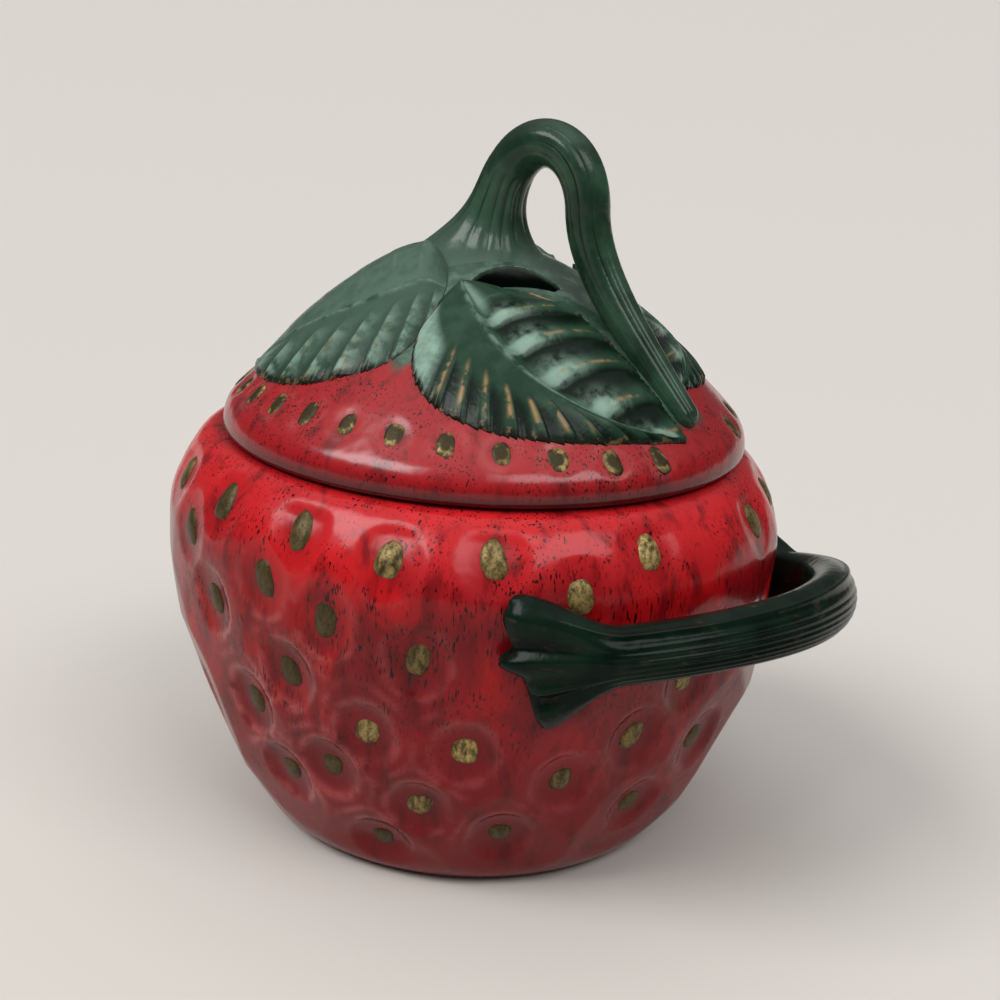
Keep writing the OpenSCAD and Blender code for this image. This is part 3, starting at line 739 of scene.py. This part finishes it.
def cut_slot(lid):
    """Cut the vent slot: an upright prism over a lens with one flat side, taken out of the lid. The walls of
    the cut are leaf green, painted near black with depth as painted shade."""
    bow = (SLOT_LENGTH ** 2 / 4 + SLOT_WIDTH ** 2) / (2 * SLOT_WIDTH)
    half = np.arcsin(SLOT_LENGTH / 2 / bow)
    arc = np.linspace(-half, half, 40)
    curved = SLOT_RADIUS - SLOT_WIDTH + bow - bow * np.cos(arc)
    inward = np.concatenate([curved, np.full(20, SLOT_RADIUS + SLOT_UNDER_LEAF)])
    sideways = np.concatenate([bow * np.sin(arc), np.linspace(0.8, -0.8, 20) * SLOT_LENGTH / 2])
    turn = np.radians(SLOT_ANGLE)
    x = inward * np.cos(turn) - sideways * np.sin(turn)
    y = inward * np.sin(turn) + sideways * np.cos(turn)
    heights = np.linspace(LID_TOP - 30, LID_TOP + 5, 60)
    prism = np.stack(np.broadcast_arrays(x, y, heights[:, None]), -1)
    cutter = shell_mesh("slot_cutter", prism[None], inside=0.0, pooled=0.0, thin=0.0, crown=1.0)
    cut = lid.modifiers.new("vent_slot", "BOOLEAN")
    cut.object = cutter
    cut.solver = "EXACT"
    bpy.context.view_layer.update()
    slotted = bpy.data.meshes.new_from_object(lid.evaluated_get(bpy.context.evaluated_depsgraph_get()))
    lid.modifiers.clear()
    lid.data = slotted
    bpy.data.objects.remove(cutter)
    place = np.empty(len(slotted.vertices) * 3, np.float32)
    slotted.vertices.foreach_get("co", place)
    x, y, z = place.reshape(-1, 3).T / MM
    out = x * np.cos(turn) + y * np.sin(turn)
    along = np.abs(y * np.cos(turn) - x * np.sin(turn))
    near_slot = (np.abs(out - SLOT_RADIUS + SLOT_WIDTH / 2) < SLOT_WIDTH) & (along < SLOT_LENGTH / 2 + 1)
    depth = dome(np.hypot(x, y)) - z
    near_slot &= depth < LID_WALL + 0.8
    # Painted shade: the slot's walls go from leaf green to near black as they go down.
    cut_paint = {"crown": 1.0, "pooled": eased(0.4, 1.6, depth), "inside": 0.0}
    for label, value in cut_paint.items():
        values = np.empty(len(x), np.float32)
        slotted.attributes[label].data.foreach_get("value", values)
        values = np.where(near_slot, value, values).astype(np.float32)
        slotted.attributes[label].data.foreach_set("value", values)


rings, paint = lid_rings()
lid = shell_mesh("lid_dome", rings[None], **paint)
cut_slot(lid)
lid.data.materials.append(red_glaze("lid_red_glaze", dash=0.5, dulled=0.58, roughness=0.19, gloss=0.45))
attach(lid, "lid")
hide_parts("lid")


# Lid seeds: a ring of smaller dabs of clay round the lid, each set in a shallow dimple of its own.
# They are dark, each with a broken ring of gold. The ring of seeds stops at both sides of the stem's end.

LID_SEED_WIDTH = 6.8
LID_SEED_LENGTH = 9.6
LID_SEED_HEIGHT = 0.6
LID_SEED_SINK = 0.5


def lid_seed_rings():
    """Seeds laid on the dome, long way down the slope, raised along the dome's direction out."""
    count = len(LID_SEED_ANGLES)
    x, y, h, reach = seed_dome(count, LID_SEED_WIDTH, LID_SEED_LENGTH, LID_SEED_HEIGHT, LID_SEED_SINK)
    gild = draws.uniform(0.35, 1.0, (count, 1, 1))
    r = LID_SEED_RADII[:, None, None]
    fall = DOME_POWER * DOME_RISE / EAVE_RADIUS
    angle = LID_SEED_ANGLES[:, None, None] + np.degrees(x / r)
    skin, out = lid_skin(angle, r + y / np.hypot(1, fall))
    return skin + out * h[..., None], gild, reach


rings, gild, reach = lid_seed_rings()
lid_seeds = shell_mesh("lid_seed_dabs", rings, gild=gild, reach=reach)
lid_seeds.data.materials.append(seed_bronze("lid_seed_bronze", ringed=True))
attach(lid_seeds, "lid")
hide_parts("lid_seeds")


# Leaves: four slabs of clay bedded on the dome, with a pressed midrib, pleated side veins and toothed edges.
# The green is satin, with painted mint highlights on the lit crests and facets, and dry-brushed with gold on
# some pleats.

# Outlines seen from above, in hundredths of the eaves' radius: base, tip, then two guides each for the
# midrib, the edge beside the stem and the outer edge
RIGHT_LEAF = np.array([[12, -38], [97, -8], [37, -60], [80, -65], [40, -6], [62, -8], [-7, -91], [75, -98]])
REAR_LEAF = np.array([[12, -38], [82, -9], [37, -56], [70, -50], [40, -6], [62, -8], [0, -78], [80, -88]])
LEFT_LEAF = np.array([
    [5, -37], [-79, -49], [-16, -62], [-50, -66], [-16, 0], [-72, -2], [22, -82], [-38, -104]])
LEAF_THICKNESS = 4.6
REAR_LEAF_THICKNESS = 2.6
LEAF_EDGE = 2.2
LEAF_ARCH = 5
BACK_LEAF_ARCH = 2
LEAF_BED = 0.5
LEAF_CLEARANCE = 0.4
LEAF_TUCK = 4.5
LEAF_TEETH = 42
TOOTH_LENGTH = 0.8
INNER_PLEATS = 7
OUTER_PLEATS = 15
PLEAT_HEIGHT = 1.9
MIDRIB_HEIGHT = 0.8
VEIN_SWEEP = 0.7
INNER_SWEEP = 0.3
OUTER_SWEEP = 0.6
STEM_WIDTH = 14
LEG_WIDTH = 12
STEM_END_WIDTH = 6
LOOP_WIDTH = 33
STEM_END = 0.94 * EAVE_RADIUS


def bezier(a, b, c, d, t):
    """Points at shares t of the curve from a to d that is drawn towards b and c."""
    t = np.asarray(t)[..., None]
    return (1 - t) ** 3 * a + 3 * (1 - t) ** 2 * t * b + 3 * (1 - t) * t ** 2 * c + t ** 3 * d


def stem_half_width(x):
    """Half the stem's width where it trails down the dome: it narrows evenly to its end."""
    share = np.clip((x - LOOP_WIDTH) / (STEM_END - LOOP_WIDTH), 0, 1)
    return (LEG_WIDTH + (STEM_END_WIDTH - LEG_WIDTH) * share) / 2


def leaf_paint(u, s, phase, wave, depth, by_slot, smooth):
    """Shares of the leaf's colours at places u and s: painted shade in the valleys of the pleats, painted
    highlights on the crests and along the midrib, a tint that is partly painted sheen, dry strokes along the
    pleats and how near the edge is.

    A pleated leaf has painted highlights on a lobe near its base, on facets beside the midrib and on a
    stripe by the slot, and a dry stroke by the slot. A smooth leaf has a sage tint, partly painted sheen,
    all over, with a paler streak along its midrib.
    """
    side = np.abs(s)
    inward = np.where(s > 0, 1.0, 0.0) * (1 - by_slot)
    outward = np.where(s < 0, 1.0, 0.0)
    pleated = 1 - smooth
    # Painted highlights: a pale lobe near the base, the lit crests, and a streak along the midrib.
    lit_lobe = pleated * outward * eased(0.45, 0.7, side) * band(0.07, 0.12, 0.23, 0.29, u)
    pale_share = wave * (pleated * inward * bell(side, 0.2, 0.26) + smooth * outward * eased(0.2, 0.5, side))
    highlight = np.maximum(np.maximum(lit_lobe, pale_share), 0.2 * smooth * inward) + 0.5 * bell(s, 0.03)
    outer_stroke = outward * bell(phase, 0.10, 0.64) * band(0.42, 0.62, 0.86, 0.96, side)
    outer_stroke = outer_stroke * band(0.26, 0.32, 0.6, 0.8, u)
    inner_stroke = 0.7 * inward * bell(phase, 0.05, 0.70) * band(0.14, 0.3, 0.6, 0.9, side)
    near_base = pleated * outward * (1 - eased(0.08, 0.16, u))
    stroke = (outer_stroke + inner_stroke) * (1 - 0.75 * smooth)
    stroke = stroke + by_slot * eased(0.90, 0.95, side) + near_base * eased(0.80, 0.88, side)
    rim = side * (1 - smooth * inward) * (1 - 0.1 * by_slot) + 0.08 * near_base
    # Painted highlights on facets beside the midrib and on a stripe by the slot; a smooth leaf's sage tint
    # is partly painted sheen.
    lit_facet = pleated * inward * eased(0.5, 0.75, wave) * bell(side, 0.12, 0.20)
    lit_stripe = by_slot * bell(s, 0.06, 0.12) * eased(0.02, 0.06, u)
    streak = bell(s, 0.05, 0.06) * bell(u, 0.16, 0.36)
    sage = 0.62 * inward + 0.5 * outward * (1 - 0.5 * eased(0.5, 1, side)) + 0.6 * streak
    tint_and_sheen = np.clip(0.85 * lit_facet + 0.7 * lit_stripe + 0.7 * lit_lobe + smooth * sage, 0, 1)
    return {"valley": depth * (1 - wave), "highlight": highlight, "tint_and_sheen": tint_and_sheen, "stroke": stroke, "rim": rim}


def leaf_rings(outline, mirrored, thickness, arch, smooth):
    """Cross-sections of a leaf from base to tip, each over the top to the inner edge and back below.

    A place is u along the leaf and s across it, -1 at the outer edge, 0 on the midrib, 1 at the inner edge.
    Side veins are lines of equal u, so pleats are lopsided waves in u. The height falls from midrib to edge
    and the edge is cut in uneven teeth. On a smooth leaf the inner half arches up and runs out into the
    crown with few pleats, and the outer edge is drawn out and lies low near the base.
    """
    base, tip, rib1, rib2, inner1, inner2, outer1, outer2 = outline * EAVE_RADIUS / 100
    u = np.linspace(0.006, 0.994, 336)[:, None]
    bow = u * (1 - u)
    over = np.sin(np.linspace(-np.pi / 2, np.pi / 2, 65))
    s = np.concatenate([over, [1.0], np.linspace(0.9, -0.9, 12), [-1.0]])
    top = np.concatenate([np.ones(65), np.zeros(14)])
    side = np.abs(s)
    inward = np.where(s > 0, 1.0, 0.0)
    outward = np.where(s < 0, 1.0, 0.0)
    toothed = 1 - smooth * inward
    rib = bezier(base, rib1, rib2, tip, u - VEIN_SWEEP * bow)
    inner = bezier(base, inner1, inner2, tip, u + INNER_SWEEP * bow)
    inner[..., 1] = np.minimum(inner[..., 1], -stem_half_width(inner[..., 0]) - LEAF_CLEARANCE)
    outer = bezier(base, outer1, outer2, tip, u + OUTER_SWEEP * (1 - 0.6 * smooth) * bow)
    edge = np.where(s[:, None] > 0, inner, outer)
    across_way = edge - rib
    length = np.linalg.norm(across_way, axis=-1, keepdims=True)
    saw = (LEAF_TEETH * u + 0.4 * np.sin(37 * u)) % 1 - 0.5
    tooth = TOOTH_LENGTH * saw * (0.75 + 0.35 * np.sin(61 * u + 1)) * eased(0, 0.03, bow) * toothed
    tuck = smooth * outward * (1 - eased(0.14, 0.42, u)) * eased(0.2, 1, side)
    shift = tooth * side ** 6 + LEAF_TUCK * tuck * eased(0, 0.03, bow)
    place = rib + across_way * side[:, None] + across_way / np.maximum(length, 0.01) * shift[..., None]
    phase = np.where(s > 0, INNER_PLEATS, OUTER_PLEATS - 6 * smooth) * u % 1
    wave = np.where(phase < 0.76, np.clip(phase / 0.76, 0, 1) ** 1.3, 1 - eased(0.76, 0.96, phase))
    inner_depth = (1 - 0.85 * smooth) * eased(0.03, 0.22, side) * (1 - 0.6 * side)
    outer_depth = 0.55 * eased(0.34 - 0.26 * smooth, 0.75 - 0.25 * smooth, side)
    depth = (inner_depth * inward + outer_depth * outward) * eased(0, 0.06, bow)
    by_slot = (1 - smooth) * inward * (1 - eased(0.24, 0.36, u))
    depth = depth * (1 - by_slot)
    ridge = bell(s, 0.035) - (1.7 - 1.3 * smooth) * bell(s, 0.07, 0.12)
    thin_edge = LEAF_EDGE * (1 - 0.9 * smooth * inward)
    thickness = thickness * (1 - 0.7 * eased(0.72, 1, u))
    height = thickness + (thin_edge - thickness) * s ** 2 + PLEAT_HEIGHT * depth * (wave - 0.6)
    height = height + MIDRIB_HEIGHT * ridge * eased(0, 0.08, bow) - 1.2 * side ** 12 * toothed
    height = height + arch * inward * (1 - (2 * s - 1) ** 2) * np.sin(np.pi * np.sqrt(u)) - 1.6 * tuck
    height = height * (1 - 0.85 * by_slot * eased(0.35, 0.95, side))
    height = height * (1 - 0.9 * smooth * (1 - eased(0, 0.24, u)))
    z = dome(off_axis(place)) + np.where(top > 0, np.maximum(height, 0.1), -LEAF_BED)
    points = np.concatenate([place, z[..., None]], -1)
    if mirrored:
        points[..., 1] *= -1
    return points, leaf_paint(u, s, phase, wave, depth, by_slot, smooth)


LEAF_GREEN = (0.012, 0.038, 0.020, 1)
LEAF_MOSS = (0.024, 0.060, 0.034, 1)
LEAF_SHADE = (0.002, 0.008, 0.004, 1)
MINT_HIGHLIGHT = (0.24, 0.36, 0.28, 1)
DRY_GOLD = (0.30, 0.19, 0.085, 1)
EDGE_BROWN = (0.010, 0.013, 0.007, 1)


def leaf_green(name, tint_and_sheen):
    """Satin green over pleats: mottled with moss, painted shade in the valleys, painted mint highlights on
    the lit crests, a second tint that is painted highlight on a pleated leaf and sage, partly painted sheen,
    on a smooth one, dry strokes of gold along the pleats, and a dark edge touched with gold."""
    finish, tree, surface, place = new_finish(name)
    mottle = ramped(tree, grain(tree, place, 130, detail=5), 0.40, 0.68)
    color = mixed(tree, mottle, LEAF_GREEN, LEAF_MOSS)
    color = mixed(tree, ramped(tree, painted(tree, "valley"), 0.12, 0.5), color, LEAF_SHADE)
    mint_breakup = ramped(tree, grain(tree, place, 240, detail=4), 0.32, 0.62)
    # Painted highlight: mint on the lit crests, broken up by noise.
    color = mixed(tree, product(tree, mint_breakup, painted(tree, "highlight")), color, MINT_HIGHLIGHT)
    # Second tint: painted highlight on a pleated leaf, sage that is partly painted sheen on a smooth one.
    color = mixed(tree, painted(tree, "tint_and_sheen"), color, tint_and_sheen)
    dry = ramped(tree, grain(tree, place, 170, detail=4), 0.44, 0.56)
    color = mixed(tree, product(tree, dry, painted(tree, "stroke")), color, DRY_GOLD)
    rim = painted(tree, "rim")
    color = mixed(tree, ramped(tree, rim, 0.93, 0.985), color, EDGE_BROWN)
    touches = ramped(tree, grain(tree, place, 330), 0.54, 0.62)
    touched = product(tree, ramped(tree, rim, 0.88, 0.96), touches)
    color = mixed(tree, product(tree, touched, 0.3), color, DRY_GOLD)
    fired(tree, surface, color, grain(tree, place, 420), 0.2, 0.0008, roughness=0.25, gloss=0.13)
    return finish


# For each leaf its outline, whether it is mirrored, its thickness, its arch, and 1 if it is smooth
LEAVES = {
    "leaf_front_right": (RIGHT_LEAF, False, LEAF_THICKNESS, 0, 0),
    "leaf_front_left": (LEFT_LEAF, False, LEAF_THICKNESS, LEAF_ARCH, 1),
    "leaf_back_right": (REAR_LEAF, True, REAR_LEAF_THICKNESS, 0, 0),
    "leaf_back_left": (LEFT_LEAF, True, LEAF_THICKNESS, BACK_LEAF_ARCH, 1),
}
for node, shape in LEAVES.items():
    rings, paint = leaf_rings(*shape)
    leaf = shell_mesh(node + "_slab", rings[None], **paint)
    leaf.data.materials.append(leaf_green(node + "_green", SAGE if shape[-1] else MINT_HIGHLIGHT))
    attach(leaf, "lid")
    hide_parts(node)


# Stem handle: a pulled, ribbed stalk that springs from a flared root on the crown, loops over and trails
# down the dome between two leaves. It lifts the lid, and is glazed like the side handle in a lighter green.

HOLLY = (0.010, 0.028, 0.015, 1)
FERN = (0.030, 0.074, 0.040, 1)
STEM_RISE = 38.1
STEM_THICKNESS = 14
ROOT_WIDTH = 33
ROOT_LENGTH = 0.3
ROOT_POWER = 4
STEM_FULLNESS = 0.8
ROOT_SPREAD = 22
SPREAD_POWER = 5
SPREAD_TURN = -32
SPREAD_WIDTH = 46
STEM_BED = 0.4
STEM_RIBS = 14
STEM_RIB_HEIGHT = 0.24
STEM_RIB_SPREAD = 36
LOOP_FRONT = -78
LEG_FRONT = -43
ROOT_FLUTES = 13
ROOT_FLUTE_HEIGHT = 0.4
LOOP_LEAN = 4
LEG_RUN = 2
TRAIL_GUIDE = 0.65 * EAVE_RADIUS
root_z = dome(ROOT_WIDTH / 2) - 1.5
leg_z = LID_TOP + 0.35 * STEM_RISE
guide_z = (8 * (LID_TOP + STEM_RISE - STEM_THICKNESS / 2) - root_z - leg_z) / 6
trail_guide_z = dome(TRAIL_GUIDE) + STEM_THICKNESS / 3


def stem_path(t):
    """Middle line of the stem, in the plane of its loop: the loop for t up to 1, then the leg up to 2."""
    root = [0, 0, root_z]
    over = [-LOOP_LEAN, 0, guide_z], [LOOP_WIDTH - LEG_RUN, 0, guide_z]
    bend = [LOOP_WIDTH, 0, leg_z]
    down = [LOOP_WIDTH + LEG_RUN, 0, leg_z - 1.3 * STEM_WIDTH], [TRAIL_GUIDE, 0, trail_guide_z]
    end = [STEM_END, 0, dome(STEM_END) + 1]
    loop = bezier(root, *over, bend, np.clip(t, 0, 1))
    trail = bezier(bend, *down, end, np.clip(t - 1, 0, 1))
    return np.where(t[:, None] < 1, loop, trail)


def stem_rings():
    """Rings of the stem: ovals along the path, flared at the root and narrowing down the dome, none sinking
    more than STEM_BED into it. The root spreads wider on the side of the left leaf and lies down on the
    dome. Fine ribs run along the front of the leg and short flutes round the root."""
    t = np.concatenate([np.linspace(0, 1, 130), np.linspace(1, 2, 110)[1:]])
    turn = np.linspace(0, 2 * np.pi, 180, endpoint=False)
    middle = stem_path(t)
    ahead = stem_path(np.minimum(t + 0.01, 2)) - stem_path(np.maximum(t - 0.01, 0))
    _, out, side = crossed(ahead, [0, 1.0, 0])
    near_root = np.clip(1 - t / ROOT_LENGTH, 0, 1)
    flare = 1 + (ROOT_WIDTH / STEM_WIDTH - 1) * near_root ** ROOT_POWER
    loop_half = (STEM_WIDTH + (LEG_WIDTH - STEM_WIDTH) * t) / 2
    half = np.where(t < 1, loop_half, stem_half_width(middle[:, 0])) * flare
    tip = np.sqrt(1 - 0.9 * np.clip((t - 1.96) / 0.04, 0, 1) ** 2)
    spread = ROOT_SPREAD * bell(turn_from(np.degrees(turn), SPREAD_TURN), SPREAD_WIDTH)
    t = t[:, None]
    near_root = near_root[:, None]
    half = ((half + STEM_FULLNESS) * tip)[:, None] + spread * near_root ** SPREAD_POWER
    front = turn_from(np.degrees(turn), LOOP_FRONT + (LEG_FRONT - LOOP_FRONT) * eased(1.0, 1.4, t))
    ribs = rib_swell(turn, STEM_RIBS) * bell(front, STEM_RIB_SPREAD) * (0.1 + 0.9 * eased(0.4, 0.8, t))
    flutes = rib_swell(turn, ROOT_FLUTES) * (near_root * (1 - near_root) * 4) ** 0.7
    swell = (STEM_RIB_HEIGHT * ribs + ROOT_FLUTE_HEIGHT * flutes) * np.minimum(1, half / STEM_WIDTH * 2)
    across = (half * STEM_THICKNESS / STEM_WIDTH + swell) * np.cos(turn)
    sideways = (half + swell) * np.sin(turn)
    points = middle[:, None] + across[..., None] * out[:, None] + sideways[..., None] * side[:, None]
    bedded = dome(off_axis(points)) - STEM_BED
    points[..., 2] += (bedded - points[..., 2]) * near_root ** 8
    start = np.array([0.1, 0.4, 0.7])[:, None, None]
    foot = points[0].mean(0) + (points[0] - points[0].mean(0)) * start
    points = np.concatenate([foot, points])
    bedded = dome(off_axis(points)) - STEM_BED
    points[..., 2] = np.maximum(points[..., 2], bedded)
    # The root's flare takes the leaves' sage tint, partly painted sheen.
    paint = {"rib": ribs + flutes, "tint_and_sheen": 0.8 * near_root ** 3}
    return points, {label: np.concatenate([value[[0, 0, 0]], value]) for label, value in paint.items()}


rings, paint = stem_rings()
stem = shell_mesh("stem_handle_stalk", rings[None], **paint)
stem.data.materials.append(stalk_green("stem_handle_green", HOLLY, FERN, gloss=0.25))
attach(stem, "lid")
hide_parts("stem_handle")


# Floor: a plain, pale table top that the jar stands on, wide enough to run out to the horizon.
# It lies a hair below the base, so that the two faces do not meet.

FLOOR_REACH = 60.0
FLOOR_DROP = 0.0002
PALE_TABLE = (0.63, 0.59, 0.54, 1)
corner = np.array([[-1, -1, 0], [1, -1, 0], [1, 1, 0], [-1, 1, 0]]) * FLOOR_REACH
sheet = bpy.data.meshes.new("table_top")
sheet.from_pydata((corner - [0, 0, FLOOR_DROP]).tolist(), [], [(0, 1, 2, 3)])
table = bpy.data.objects.new("table_top", sheet)
bpy.context.scene.collection.objects.link(table)
table_finish, tree, surface, place = new_finish("pale_table")
surface.inputs["Base Color"].default_value = PALE_TABLE
surface.inputs["Roughness"].default_value = 0.6
surface.inputs["Specular IOR Level"].default_value = 0.2
table.data.materials.append(table_finish)


# Light: a studio room, dim round its walls and bright overhead.
# A wide soft box hangs high up on each side in front of the jar.

# Soft boxes in degrees: turn and rise of the middle, width and height, and then the strength
SOFT_BOXES = ((-115, 47, 50, 22, 8.5), (-15, 47, 60, 20, 4.2))
HORIZON = 0.10
OVERHEAD = 1.25
room = bpy.data.worlds.new("studio_room")
room.use_nodes = True
tree = room.node_tree
looking = shader_node(tree, "ShaderNodeTexCoord").outputs["Generated"]
way_x, way_y, way_z = shader_node(tree, "ShaderNodeSeparateXYZ", {0: looking}).outputs
turn = maths(tree, "ARCTAN2", way_y, way_x)
rise = maths(tree, "ARCSINE", way_z)


def close_to(value, middle, width):
    """Share that falls from 1 within width of middle to 0 outside it, softly, with both in degrees."""
    away = maths(tree, "ABSOLUTE", maths(tree, "SUBTRACT", value, math.radians(middle)))
    return ramped(tree, away, math.radians(0.6 * width), math.radians(0.4 * width))


rise_cubed = product(tree, way_z, product(tree, way_z, way_z))
brighter_up = {"Value": rise_cubed, "To Min": HORIZON, "To Max": OVERHEAD}
glow = shader_node(tree, "ShaderNodeMapRange", brighter_up).outputs[0]
for box_turn, box_rise, width, height, strength in SOFT_BOXES:
    within = product(tree, close_to(turn, box_turn, width), close_to(rise, box_rise, height))
    glow = maths(tree, "MULTIPLY_ADD", within, strength, glow)
tree.links.new(glow, tree.nodes["Background"].inputs["Strength"])
tree.nodes["Background"].inputs["Color"].default_value = (0.97, 0.985, 1.0, 1)
bpy.context.scene.world = room
bpy.context.scene.view_settings.view_transform = "Standard"


# Camera: the photograph's view, 20 degrees above the table and turned 35 degrees from the jar's -Y side.
# A small shift of the lens frames the jar as the photograph does.

PICTURE = 1000
FOCAL_PIXELS = 1710
VIEW_TURN = math.radians(35)
VIEW_RISE = math.radians(20.08)
VIEW_ROLL = math.radians(3.4)
VIEW_DISTANCE = 0.570
AIM = Vector((0, 0, 0.080))
AIM_PIXEL = (475.7, 570.3)

across = Vector((math.cos(VIEW_TURN), math.sin(VIEW_TURN), 0))
back = Vector((math.sin(VIEW_TURN) * math.cos(VIEW_RISE), -math.cos(VIEW_TURN) * math.cos(VIEW_RISE),
               math.sin(VIEW_RISE)))
upright = back.cross(across)
right = across * math.cos(VIEW_ROLL) + upright * math.sin(VIEW_ROLL)
up = upright * math.cos(VIEW_ROLL) - across * math.sin(VIEW_ROLL)
lens = bpy.data.cameras.new("view")
lens.sensor_width = 36
lens.lens = lens.sensor_width * FOCAL_PIXELS / PICTURE
lens.shift_x = 0.5 - AIM_PIXEL[0] / PICTURE
lens.shift_y = AIM_PIXEL[1] / PICTURE - 0.5
camera = bpy.data.objects.new("view", lens)
turned = Matrix((right, up, back)).transposed().to_4x4()
camera.matrix_world = Matrix.Translation(AIM + back * VIEW_DISTANCE) @ turned
bpy.context.scene.collection.objects.link(camera)
bpy.context.scene.camera = camera
